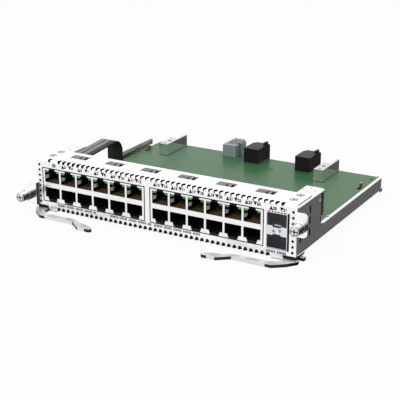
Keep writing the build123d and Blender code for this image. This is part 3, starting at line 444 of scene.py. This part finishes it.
def strap_finish(name, left, highlights):
    """Black ribbon with fine ribs, and painted highlights: paler bands along the top of its arch.
    """
    arch_front, arch_rear = 20, 68
    lowest, highest = 30, 60
    material = finish(name, (0.030, 0.031, 0.029), (0.022, 0.023, 0.021), 0.5,
                      Specular_IOR_Level=0.22)
    for start, end, tone in highlights:
        shaded(material, BOX_SHADE, (tone, tone, tone), Low=place(left + start, arch_front, lowest),
               High=place(left + end, arch_rear, highest))
    shaded(material, LINE_ROW, BLACK, First=place(left, 0, 0).x, Pitch=1.28 * MM, Width=0.3 * MM)
    return material


left_strap = strap_finish("left_strap", STRAP_STARTS[0], ((-0.1, 3.8, 0.36), (5.2, 6.5, 0.42)))
right_strap = strap_finish("right_strap", STRAP_STARTS[1], ((-0.1, 1.9, 0.42),))
chip_black = finish("chip_black", (0.022, 0.022, 0.023), (0.016, 0.016, 0.017), 0.5)
can_metal = finish("can_metal", (0.80, 0.80, 0.80), (0.70, 0.70, 0.70), 0.3, 1.0)
guide_metal = finish("guide_metal", (0.72, 0.73, 0.72), (0.68, 0.69, 0.68), 0.07, 1.0,
                     spread=0.02, depth=0.01)
# Painted shade along the guide brackets' lowest edge, where they stand on the board.
GUIDE_FOOT_SHADE = ((0, 120, BOARD_TOP - 1), (PANEL_WIDTH, 180, BOARD_TOP + 0.35))
shaded(guide_metal, BOX_SHADE, (0.03, 0.05, 0.03), Low=place(*GUIDE_FOOT_SHADE[0]),
       High=place(*GUIDE_FOOT_SHADE[1]))
power_grey = finish("power_grey", (0.37, 0.41, 0.44), (0.33, 0.37, 0.40), 0.42)
pin_copper = finish("pin_copper", (0.62, 0.36, 0.20), (0.42, 0.26, 0.14), 0.32, 1.0)
screw_metal = finish("screw_metal", (0.86, 0.86, 0.86), (0.80, 0.80, 0.80), 0.14, 1.0,
                     spread=0.02, depth=0.0, Specular_IOR_Level=0.1)
# Painted shade on the screws' faces that look right or down, away from the lamps.
shaded(screw_metal, TURNED_AWAY_SHADE, (0.025, 0.025, 0.025), "World Normal")
solder = finish("solder", (0.72, 0.72, 0.74), (0.58, 0.58, 0.60), 0.28, 1.0)
trace_green = finish("trace_green", (0.10, 0.26, 0.11), (0.085, 0.23, 0.095), 0.36)
print_white = finish("print_white", (0.70, 0.72, 0.70), (0.62, 0.64, 0.62), 0.6)
print_black = finish("print_black", (0.008, 0.008, 0.008), (0.005, 0.005, 0.005), 0.6,
                     Specular_IOR_Level=0.15)

coats = {
    rail_metal: ("left_side_rail", "right_side_rail"),
    panel_metal: ("front_panel",),
    lever_metal: ("left_lever", "right_lever"),
    gasket_metal: ("top_gasket_fingers",),
    strip_metal: ("panel_gasket_strips", "module_gasket", "screw_springs"),
    latch_shade: ("module_latch_springs",),
    socket_painted_light: ("module_sockets",),
    spring_metal: ("left_jack_springs", "right_jack_springs"),
    rivet_metal: ("panel_rivets", "lever_pivot_pins"),
    board_green: ("circuit_board", "status_board"),
    shield_metal: ("left_jack_shield", "right_jack_shield"),
    jack_black: ("left_jack_housing", "right_jack_housing", "left_backplane_connector",
                 "right_backplane_connector", "status_cable_header", "main_cable_header",
                 "jumper_plugs"),
    contact_gold: ("left_jack_contacts", "right_jack_contacts", "backplane_pins",
                   "power_blades"),
    light_green: ("left_light_pipes", "right_light_pipes", "module_light_pipes",
                  "status_light"),
    cage_metal: ("module_cage",),
    left_strap: ("left_jumper_cable",),
    right_strap: ("right_jumper_cable",),
    chip_black: ("port_chips", "power_coils"),
    can_metal: ("chip_crystals", "board_capacitors"),
    guide_metal: ("left_guide_bracket", "right_guide_bracket"),
    power_grey: ("power_connector",),
    pin_copper: ("board_pins", "board_standoffs"),
    screw_metal: ("board_screws", "left_screw_collar", "right_screw_collar",
                  "left_screw_knob", "right_screw_knob", "left_captive_screw",
                  "right_captive_screw", "left_screw_washer", "right_screw_washer"),
}
for material, names in coats.items():
    for name in names:
        mesh = nodes[name].data
        mesh.materials.clear()
        mesh.materials.append(material)


# New pieces

SMOOTH_ANGLE = 20
SHARP_ANGLE = 40


def piece(name, shape, material, body="card", smooth_angle=0, second=None, replaced=()):
    """Makes a finished bmesh a piece of the card."""
    mesh = bpy.data.meshes.new(name)
    shape.to_mesh(mesh)
    shape.free()
    mesh.materials.append(material)
    if second:
        mesh.materials.append(second)
    if smooth_angle:
        mesh.shade_smooth()
        mesh.set_sharp_from_angle(angle=math.radians(smooth_angle))
    made = bpy.data.objects.new(name, mesh)
    bpy.context.scene.collection.objects.link(made)
    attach(made, body)
    if replaced:
        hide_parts(*replaced)


def add_block(shape, low, high, bevel=0.0):
    """A block between two drawn corners, its edges rounded by bevel millimetres."""
    low, high = place(*low), place(*high)
    made = bmesh.ops.create_cube(shape, size=1.0)["verts"]
    bmesh.ops.scale(shape, vec=high - low, verts=made)
    bmesh.ops.translate(shape, vec=(low + high) / 2, verts=made)
    if bevel:
        edges = {edge for vert in made for edge in vert.link_edges}
        bmesh.ops.bevel(shape, geom=list(edges), offset=bevel * MM, affect="EDGES", segments=1,
                        profile=0.5, material=-1)


def add_prism(shape, outline, along):
    """A flat outline of drawn points, drawn out along a vector in millimetres."""
    face = shape.faces.new([shape.verts.new(place(*point)) for point in outline])
    grown = bmesh.ops.extrude_face_region(shape, geom=[face])["geom"]
    moved = [part for part in grown if isinstance(part, bmesh.types.BMVert)]
    bmesh.ops.translate(shape, vec=Vector(along) * MM, verts=moved)
    faces = {face, *(near for vert in moved for near in vert.link_faces)}
    bmesh.ops.recalc_face_normals(shape, faces=list(faces))


def ring(inner, outer, height):
    """The profile of a flat ring."""
    return (inner, 0), (outer, 0), (outer, height), (inner, height), (inner, 0)


def disc(radius, height):
    """The profile of a flat disc."""
    return (0, 0), (radius, 0), (radius, height), (0, height)


def add_turned(shape, profile, middle, axis="Z", steps=24):
    """A profile of (radius, height) points in millimetres, spun round an axis at a place."""
    turn = {"Z": Matrix.Identity(3), "Y": Matrix.Rotation(math.radians(-90), 3, "X")}[axis]
    spot = place(*middle)
    verts = [shape.verts.new(turn @ Vector((r * MM, 0, h * MM)) + spot) for r, h in profile]
    edges = [shape.edges.new(pair) for pair in zip(verts, verts[1:])]
    bmesh.ops.spin(shape, geom=verts + edges, cent=spot, axis=turn @ Vector((0, 0, 1)),
                   angle=math.tau, steps=steps, use_merge=True)
    bmesh.ops.remove_doubles(shape, verts=shape.verts, dist=0.002 * MM)


def add_pair(shape, x0, x1, low, high):
    """Two like blocks, one at each end of the panel; low and high are (y, z)."""
    for left, right in ((x0, x1), (PANEL_WIDTH - x1, PANEL_WIDTH - x0)):
        add_block(shape, (left, *low), (right, *high))


def port_middles():
    """Where the middles of the jacks' port columns are."""
    return [start + (column + 0.5) * PORT_PITCH for start in GROUP_STARTS
            for column in range(PORTS_PER_ROW)]


def softened(node, material, body, width, second=None, is_second=None, cuts=()):
    """A copy of a CAD node with its sharp edges rounded, in the node's stead."""
    shape = bmesh.new()
    shape.from_mesh(nodes[node].data)
    bmesh.ops.remove_doubles(shape, verts=shape.verts, dist=0.005 * MM)
    bmesh.ops.dissolve_limit(shape, angle_limit=math.radians(1), verts=shape.verts,
                             edges=shape.edges)
    sharp = [edge for edge in shape.edges
             if edge.is_manifold and edge.calc_face_angle(0.0) > math.radians(SHARP_ANGLE)]
    bmesh.ops.bevel(shape, geom=sharp, offset=width * MM, affect="EDGES", segments=2,
                    profile=0.5, clamp_overlap=True, material=-1)
    for x in cuts:
        bmesh.ops.bisect_plane(shape, geom=[*shape.verts, *shape.edges, *shape.faces],
                               plane_co=place(x, 0, 0), plane_no=(1, 0, 0))
    if second:
        for face in shape.faces:
            face.material_index = int(is_second(face))
    piece(node + "_finished", shape, material, body, SMOOTH_ANGLE, second, (node,))


def lever_side(face):
    """Says which upright faces of a lever get painted shade: the turned ones and those at its two
    ends.
    """
    upright, turned = 0.3, 0.13
    x = PANEL_WIDTH / 2 - abs(face.calc_center_median().x / MM)
    at_end = not LEVER_DARK_ENDS[0] < x < LEVER_DARK_ENDS[1]
    return abs(face.normal.z) < upright and (abs(face.normal.x) > turned or at_end)


for side in ("left", "right"):
    cuts = [*LEVER_DARK_ENDS, *(PANEL_WIDTH - x for x in LEVER_DARK_ENDS)]
    softened(side + "_lever", lever_metal, side + "_lever", 0.12, lever_shade,
             lever_side, cuts)


def in_cross(side):
    """Says which faces lie inside the cross recess of a screw's head; they get painted shade."""
    spot = place(SCREW_PLACES[side][0], SCREW_FRONT, SCREW_PLACES[side][1])
    front = 0.12 * MM
    floor_depth = (CROSS_DEPTH + 0.05) * MM
    reach = (CROSS_REACH + 0.2) * MM

    def inside(face):
        away = face.calc_center_median() - spot
        return front < away.y < floor_depth and math.hypot(away.x, away.z) < reach

    return inside


for side in ("left", "right"):
    # The cross recess gets painted shade.
    softened(side + "_captive_screw", screw_metal, side + "_thumbscrew", 0.08,
             slot_shadow, in_cross(side))
    softened(side + "_screw_knob", screw_metal, side + "_thumbscrew", 0.2)
    softened(side + "_screw_collar", screw_metal, "card", 0.15)


def screw_trim(side):
    """A bezel round a screw's head, and painted shade: a dark ring in the groove behind the head, a
    thin dark outline round it and a dark cross over its recess.
    """
    x, z = SCREW_PLACES[side]
    body = side + "_thumbscrew"
    bore, edge, chamfer, depth = 2.72, 3.35, 0.2, 0.75
    shape = bmesh.new()
    add_turned(shape, ((bore, 0), (edge - chamfer, 0), (edge, chamfer), (edge, depth),
                       (bore, depth), (bore, 0)), (x, SCREW_FRONT + 0.02, z), "Y", 40)
    bmesh.ops.recalc_face_normals(shape, faces=shape.faces)
    piece(side + "_head_bezel", shape, screw_metal, body, SMOOTH_ANGLE)
    shape = bmesh.new()
    add_turned(shape, ring(2.75, 3.2, 0.8), (x, SCREW_FRONT + 0.78, z), "Y", 40)
    add_turned(shape, ring(3.12, 3.30, 0.1), (x, SCREW_FRONT, z), "Y", 40)
    long, thin = 2.1, 0.4
    for half in ((long, thin), (thin, long)):
        add_block(shape, (x - half[0], SCREW_FRONT - 0.03, z - half[1]),
                  (x + half[0], SCREW_FRONT, z + half[1]))
    bmesh.ops.recalc_face_normals(shape, faces=shape.faces)
    piece(side + "_head_shade", shape, slot_shadow, body)


screw_trim("left")
screw_trim("right")


# Print on the panel's face

PRINT_FRONT = -0.02
PRINT_BACK = -0.005
PLATE_BACK = -0.004


def lettering(shape, words, size, spot):
    """Flat lettering on the panel's face, its left end at a drawn spot."""
    curve = bpy.data.curves.new("words", "FONT")
    curve.body = words
    curve.size = size * MM
    curve.extrude = 0.01 * MM
    curve.offset = 0.15 * MM
    holder = bpy.data.objects.new("words", curve)
    mesh = bpy.data.meshes.new_from_object(holder)
    mesh.transform(Matrix.Translation(place(*spot)) @ Matrix.Rotation(math.radians(90), 4, "X"))
    shape.from_mesh(mesh)
    bpy.data.objects.remove(holder)
    bpy.data.curves.remove(curve)
    bpy.data.meshes.remove(mesh)


def pointer(shape, x, z, size, up):
    """A small filled triangle on the panel's face."""
    half = size / 2
    tip = half if up else -half
    corners = ((x - half, z - tip), (x + half, z - tip), (x, z + tip))
    add_prism(shape, [(across, PRINT_FRONT, height) for across, height in corners],
              (0, PLATE_BACK - PRINT_FRONT, 0))


def port_label(shape, first_x, second_x, z, first):
    """Two pointers, up and down, each with its port number to the right."""
    pointer_size, letter_size, gap = 2.8, 2.7, 1.25
    for x, number, up in ((first_x, first, True), (second_x, first + 1, False)):
        pointer(shape, x, z + 1.0, pointer_size, up)
        lettering(shape, str(number), letter_size, (x + gap, -0.015, z))


def add_ticks(shape, x, end, z, width, height, pitch):
    """Short marks in a row, with a gap after each six."""
    index = 0
    while x < end:
        if index % 7 != 6:
            add_block(shape, (x, PRINT_FRONT, z), (x + width, PRINT_BACK, z + height))
        x += pitch
        index += 1


def panel_print():
    """Port numbers and pointers over the jacks and the cage, and rows of plain ticks."""
    shape = bmesh.new()
    label_height, cage_label_height = 33.9, 33.1
    for index, middle in enumerate(port_middles()):
        if index > 0:
            port_label(shape, middle - 4.1, middle + 2.0, label_height, 1 + 2 * index)
    port_label(shape, 187.4, 194.8, cage_label_height, 25)
    add_ticks(shape, 185.5, 198.0, 31.5, 0.9, 0.8, 2.25)
    for start, end, z in ((18.0, 50.0, 4.5), (63.0, 97.0, 4.5), (99.0, 135.0, 4.5),
                          (184.5, 199.0, 3.6)):
        add_ticks(shape, start, end, z, 0.72, 1.6, 1.1)
    piece("panel_print", shape, print_black)


panel_print()


# Painted shade, and thin trim of the panel, rails and cage

def films():
    """Black sheets of painted shade behind the slots and vents, in the notches and under the
    brackets.
    """
    shape = bmesh.new()
    # Behind the top flange's slots
    add_block(shape, (18.0, 10.2, 36.35), (194.0, 22.0, 36.45))
    # Behind the side vents
    add_pair(shape, 1.3, 4.6, (1.1, 5.0), (1.2, 35.4))
    # Behind the slots in the brackets' sides
    add_pair(shape, 1.06, 1.14, (4.2, 9.5), (41.6, 34.4))
    # In the panel's lower corner notches
    add_pair(shape, 0.1, 9.25, (-0.03, 1.15), (0.1, 3.45))
    # Under the brackets' lower edges
    add_pair(shape, 0.3, 0.5, (1.0, 1.15), (14.0, 2.48))
    # Under the panel's lower edge, at both ends
    for x0, x1 in ((9.4, 17.2), (188.0, 196.2)):
        add_block(shape, (x0, 0.35, -0.4), (x1, 0.55, -0.02))
    # Aslant behind the bottom vents
    left, right, near, far = 17.0, 188.5, 1.1, 4.3
    corners = ((left, near, far), (left, far, near), (right, far, near), (right, near, far))
    film = shape.faces.new([shape.verts.new(place(*corner)) for corner in corners])
    bmesh.ops.solidify(shape, geom=[film], thickness=0.05 * MM)
    bmesh.ops.recalc_face_normals(shape, faces=shape.faces)
    # In the slot beside the cage
    add_block(shape, (CAGE_RIGHT + 0.45, 1.1, 6.6), (CAGE_RIGHT + 2.1, 1.2, 33.0))
    # Over the jacks
    for start in GROUP_STARTS:
        end = start + PORTS_PER_ROW * PORT_PITCH
        add_block(shape, (start - 0.7, 0.1, JACK_TOP + 0.01), (end + 0.7, 2.4, JACK_TOP + 0.06))
    piece("painted_shade_sheets", shape, slot_shadow)


def lip_films():
    """Board-green strips on the inner half of the rails' lips."""
    shape = bmesh.new()
    add_pair(shape, 1.6, 3.0, (56.0, RAIL_TOP + 0.005), (151.4, RAIL_TOP + 0.04))
    piece("lip_films", shape, board_green)


def cage_trim():
    """Bright lips over the upper latch, and lenses on the cage's lights."""
    shape = bmesh.new()
    add_block(shape, (189.8, 0.2, 22.45), (194.3, 0.9, 22.9), 0.08)
    piece("latch_lips", shape, spring_metal)
    shape = bmesh.new()
    lens_size, lens_height = 2.5, 18.9
    pointer(shape, 189.4, lens_height, lens_size, True)
    pointer(shape, 193.8, lens_height, lens_size, False)
    piece("module_light_lenses", shape, light_green)


def port_floors():
    """Brown contact carriers on the floors of the upper ports, thicker at the front."""
    shape = bmesh.new()
    half_width, bottom = 5.9, UPPER_FLOOR + 0.01
    for middle in port_middles():
        for front, rear, thickness in ((1.0, 5.4, 0.1), (5.4, 14.3, 0.05)):
            add_block(shape, (middle - half_width, front, bottom),
                      (middle + half_width, rear, UPPER_FLOOR + thickness))
    piece("port_floors", shape, floor_brown)


def rivet_marks():
    """Painted shade in the countersunk rivets, as dark rings and middles, and in the dimples behind
    them.
    """
    shape = bmesh.new()
    thickness = 0.01
    for x, y in RIVET_PLACES:
        spot = (x, y, PANEL_HEIGHT + 0.005)
        add_turned(shape, ring(2.05, 2.7, thickness), spot, steps=32)
        add_turned(shape, disc(1.0, thickness), spot, steps=16)
    for x in (DIMPLE_INSET, PANEL_WIDTH - DIMPLE_INSET):
        for dx, dy in ((-1, 0), (0, 1), (0, -1), (1, 0)):
            spot = (x + dx * DIMPLE_SPREAD, DIMPLE_ROW + dy * DIMPLE_SPREAD, PLATE_TOP + 0.005)
            add_turned(shape, disc(0.52, thickness), spot, steps=12)
    bmesh.ops.recalc_face_normals(shape, faces=shape.faces)
    piece("rivet_marks", shape, slot_shadow)


films()
lip_films()
cage_trim()
port_floors()
rivet_marks()


# Small parts of the board that the front flange covers, and its underside

def chip_legs():
    """A row of bent legs, each a foot and an upper part, along each side of the port chips."""
    shape = bmesh.new()
    count, pitch, margin, width = 16, 0.8, 0.85, 0.35
    reach, foot_length, upper_inset = 1.2, 0.7, 0.3
    foot_bottom, foot_top, upper_top = BOARD_TOP + 0.02, BOARD_TOP + 0.17, BOARD_TOP + 0.6
    sides = ((-reach, 0.0, -reach, foot_length - reach),
             (CHIP_SIZE, CHIP_SIZE + reach, CHIP_SIZE + reach - foot_length, CHIP_SIZE + reach))
    for start in CHIP_STARTS:
        for i in range(count):
            a = margin + i * pitch
            b = a + width
            for low, high, foot_low, foot_high in sides:
                add_block(shape, (start + a, CHIP_ROW + foot_low, foot_bottom),
                          (start + b, CHIP_ROW + foot_high, foot_top))
                add_block(shape, (start + a, CHIP_ROW + low, foot_top),
                          (start + b, CHIP_ROW + high - upper_inset, upper_top))
                add_block(shape, (start + foot_low, CHIP_ROW + a, foot_bottom),
                          (start + foot_high, CHIP_ROW + b, foot_top))
                add_block(shape, (start + low, CHIP_ROW + a, foot_top),
                          (start + high - upper_inset, CHIP_ROW + b, upper_top))
    piece("chip_legs", shape, solder)


def resistor_places():
    """Rows of small parts between the jacks and the chips, and behind the chips."""
    rows = ((36.0, 16, 168, 4.4), (40.5, 16, 168, 4.4), (46.0, 40, 160, 6.0), (77.0, 40, 160, 6.0))
    return [(start + i * step, y, i % 3 == 0) for y, start, end, step in rows
            for i in range(int((end - start) / step))]


def resistors():
    """Small two-ended parts: dark bodies and bright ends."""
    bodies, ends = bmesh.new(), bmesh.new()
    half_width, half_body, half_length = 0.4, 0.5, 0.8
    low, high = BOARD_TOP + 0.02, BOARD_TOP + 0.5
    for x, y, upright in resistor_places():
        for shape, near, far, top in ((bodies, -half_body, half_body, high),
                                      (ends, -half_length, -half_body, high + 0.02),
                                      (ends, half_body, half_length, high + 0.02)):
            if upright:
                add_block(shape, (x - half_width, y + near, low), (x + half_width, y + far, top))
            else:
                add_block(shape, (x + near, y - half_width, low), (x + far, y + half_width, top))
    piece("resistor_bodies", bodies, chip_black)
    piece("resistor_ends", ends, solder)


def joint_places():
    """Where pins come through the board."""
    # Jacks
    places = [(middle + (i - 3.5) * 1.27, row + (0.0 if i % 2 else 2.5))
              for middle in port_middles() for i in range(8) for row in (17.0, 24.0)]
    # Backplane connectors
    places += [(left + (i + 1) * 1.8, 151.0 + j * 1.9) for left in BACKPLANE_STARTS
               for i in range(6) for j in range(5)]
    # Power connector
    places += [(70.5 + i * 3.0, y) for i in range(4) for y in (157.0, 160.5)]
    # Main cable header
    places += [(14.0 + i * 1.27, y) for i in range(10) for y in (70.2, 72.6)]
    # Coils and capacitors
    places += [(172.5 + i * 5.0, y) for i in range(5) for y in (49.0, 53.0, 62.8)]
    return places


def solder_joints():
    """Solder cones under the board."""
    shape = bmesh.new()
    tip_radius, foot_radius, height = 0.18, 0.5, 0.56
    for x, y in joint_places():
        at = Matrix.Translation(place(x, y, BOARD_BOTTOM - height / 2))
        bmesh.ops.create_cone(shape, cap_ends=True, segments=6, radius1=tip_radius * MM,
                              radius2=foot_radius * MM, depth=height * MM, matrix=at)
    piece("solder_joints", shape, solder)


def add_track(shape, points, width, low, high):
    """A flat track along a line of points."""
    shortest = 0.01
    for (x0, y0), (x1, y1) in zip(points, points[1:]):
        length = math.hypot(x1 - x0, y1 - y0)
        if length < shortest:
            continue
        ax, ay = -(y1 - y0) / length * width / 2, (x1 - x0) / length * width / 2
        outline = ((x0 + ax, y0 + ay), (x0 - ax, y0 - ay), (x1 - ax, y1 - ay), (x1 + ax, y1 + ay))
        add_prism(shape, [(x, y, low) for x, y in outline], (0, 0, high - low))


def tracks():
    """Tracks under the board from the jacks to the rear connectors, and short ones on top."""
    shape = bmesh.new()
    width, per_connector = 0.25, 24
    levels = (BOARD_BOTTOM - 0.04, BOARD_BOTTOM - 0.005)
    for index in range(2 * per_connector):
        x0 = 12.0 + index * 3.6
        spot = index % per_connector
        x1 = BACKPLANE_STARTS[index // per_connector] + 1.0 + spot * 0.45
        lean = abs(x1 - x0)
        turn = 146.0 - lean - (spot if x0 > x1 else per_connector - spot) * 0.5
        add_track(shape, ((x0, 29.5), (x0, turn), (x1, turn + lean), (x1, 149.5)), width, *levels)
    levels = (BOARD_TOP + 0.005, BOARD_TOP + 0.03)
    for start in CHIP_STARTS:
        for i in range(16):
            x0 = start + 1.0 + i * 0.8
            x1 = start + 7.0 + (i - 7.5) * 1.9
            lean = abs(x1 - x0)
            add_track(shape, ((x0, 54.6), (x0, 53.8), (x1, 53.8 - lean), (x1, 42.0)), width,
                      *levels)
    piece("board_tracks", shape, trace_green)


def add_frame(shape, x0, y0, x1, y1, levels):
    """A thin printed outline."""
    add_track(shape, ((x0, y0), (x1, y0), (x1, y1), (x0, y1), (x0, y0)), 0.2, *levels)


def silk_print():
    """White outlines round the parts on both faces of the board, and rows of plain ticks."""
    shape = bmesh.new()
    top = (BOARD_TOP + 0.005, BOARD_TOP + 0.035)
    bottom = (BOARD_BOTTOM - 0.05, BOARD_BOTTOM - 0.005)
    margin = 1.8
    for start in CHIP_STARTS:
        add_frame(shape, start - margin, CHIP_ROW - margin, start + CHIP_SIZE + margin,
                  CHIP_ROW + CHIP_SIZE + margin, top)
    for x, y, _ in resistor_places():
        add_track(shape, ((x - 0.8, y + 1.4), (x + 0.8, y + 1.4)), 0.25, *top)
    for start in GROUP_STARTS:
        end = start + PORTS_PER_ROW * PORT_PITCH
        add_frame(shape, start - 0.6, 13.0, end + 0.6, 28.6, bottom)
    for left in BACKPLANE_STARTS:
        add_frame(shape, left - 0.4, 149.6, left + 13.0, 160.6, bottom)
    add_frame(shape, 69.0, 154.6, 81.0, 162.0, bottom)
    for index in range(24):
        x = 30.0 + index * 6.2
        add_track(shape, ((x, 31.0), (x + 1.6, 31.0)), 0.5, *bottom)
    piece("board_print", shape, print_white)


chip_legs()
resistors()
solder_joints()
tracks()
silk_print()


# Light, floor and camera

def background_mask(tree):
    """1 where the camera, mirrors and glass look at the background, else 0."""
    path = tree.nodes.new("ShaderNodeLightPath").outputs
    seen = reckon(tree, "MAXIMUM", path["Is Camera Ray"], path["Is Transmission Ray"])
    return reckon(tree, "MAXIMUM", seen, path["Is Glossy Ray"])


def studio_world():
    """Soft daylight all round, with a white background."""
    world = bpy.data.worlds.new("studio")
    bpy.context.scene.world = world
    world.use_nodes = True
    tree = world.node_tree
    tree.nodes.clear()
    out = tree.nodes.new("ShaderNodeOutputWorld")
    soft = tree.nodes.new("ShaderNodeBackground")
    soft.inputs["Color"].default_value = (0.97, 0.98, 1.0, 1)
    soft.inputs["Strength"].default_value = 0.42
    white = tree.nodes.new("ShaderNodeBackground")
    white.inputs["Color"].default_value = (1, 1, 1, 1)
    mix = tree.nodes.new("ShaderNodeMixShader")
    wire(tree, (
        (background_mask(tree), mix.inputs["Fac"]),
        (soft.outputs[0], mix.inputs[1]),
        (white.outputs[0], mix.inputs[2]),
        (mix.outputs[0], out.inputs["Surface"]),
    ))


def stage_sheet(name, low, high, z):
    """A flat sheet of the stage between two (x, y) corners; returns it and its empty material."""
    shape = bmesh.new()
    bmesh.ops.create_grid(shape, x_segments=1, y_segments=1, size=0.5)
    bmesh.ops.scale(shape, vec=(high[0] - low[0], high[1] - low[1], 1), verts=shape.verts)
    middle = ((low[0] + high[0]) / 2, (low[1] + high[1]) / 2, z)
    bmesh.ops.translate(shape, vec=middle, verts=shape.verts)
    mesh = bpy.data.meshes.new(name)
    shape.to_mesh(mesh)
    shape.free()
    sheet = bpy.data.objects.new(name, mesh)
    bpy.context.scene.collection.objects.link(sheet)
    material = bpy.data.materials.new(name)
    material.use_nodes = True
    material.node_tree.nodes.clear()
    mesh.materials.append(material)
    return sheet, material.node_tree


def floor():
    """A white floor that keeps some of the card's shadow, and all of it under the card."""
    tree = stage_sheet("floor", (-12, -12), (12, 12), -0.2 * MM)[1]
    out = tree.nodes.new("ShaderNodeOutputMaterial")
    matte = tree.nodes.new("ShaderNodeBsdfDiffuse")
    matte.inputs["Color"].default_value = (0.90, 0.90, 0.90, 1)
    white = tree.nodes.new("ShaderNodeEmission")
    mix = tree.nodes.new("ShaderNodeMixShader")
    spot = parts_of(tree, tree.nodes.new("ShaderNodeTexCoord").outputs["Object"])
    below = inside_box(tree, spot, (*place(8, 12, 0).xy, -1),
                       (*place(PANEL_WIDTH - 14, 160, 0).xy, 1))
    open_floor = reckon(tree, "MAXIMUM", reckon(tree, "SUBTRACT", 0.93, below), 0.0)
    share = reckon(tree, "MULTIPLY", background_mask(tree), open_floor)
    wire(tree, (
        (share, mix.inputs["Fac"]),
        (matte.outputs[0], mix.inputs[1]),
        (white.outputs[0], mix.inputs[2]),
        (mix.outputs[0], out.inputs["Surface"]),
    ))


def reflection_card(name, low, high, tone):
    """A dull card on the floor that only reflections see, to give bright metal its dark side."""
    card, tree = stage_sheet(name, low, high, -0.1 * MM)
    card.visible_camera = False
    card.visible_diffuse = False
    card.visible_shadow = False
    card.visible_transmission = False
    out = tree.nodes.new("ShaderNodeOutputMaterial")
    glow = tree.nodes.new("ShaderNodeEmission")
    glow.inputs["Color"].default_value = (tone, tone, tone, 1)
    tree.links.new(glow.outputs[0], out.inputs["Surface"])


def lamp(name, spot, aim, size, power):
    """A square soft light at a spot, turned to an aim."""
    light = bpy.data.lights.new(name, "AREA")
    light.size = size
    light.energy = power
    holder = bpy.data.objects.new(name, light)
    bpy.context.scene.collection.objects.link(holder)
    holder.location = spot
    holder.rotation_euler = (Vector(aim) - Vector(spot)).to_track_quat("-Z", "Y").to_euler()


def camera():
    """The photograph's viewpoint, fitted to the card's own points."""
    eye = bpy.data.cameras.new("camera")
    eye.lens = 97.02
    eye.sensor_width = 36.0
    holder = bpy.data.objects.new("camera", eye)
    bpy.context.scene.collection.objects.link(holder)
    holder.location = (0.3640, -0.5826, 0.2720)
    holder.rotation_euler = (math.radians(70.25), 0, math.radians(29.65))
    eye.clip_start = 0.01
    bpy.context.scene.camera = holder


studio_world()
floor()
reflection_card("back_card", (-0.8, 0.02), (0.8, 0.9), 0.11)
reflection_card("right_card", (0.104, -0.4), (0.8, 0.02), 0.11)
lamp("key", (-0.7, -0.9, 1.1), (0, 0.05, 0), 0.9, 9.0)
lamp("top", (0.1, 0.5, 1.3), (0, 0.08, 0), 1.2, 6.0)
camera()
bpy.context.scene.view_settings.view_transform = "Standard"
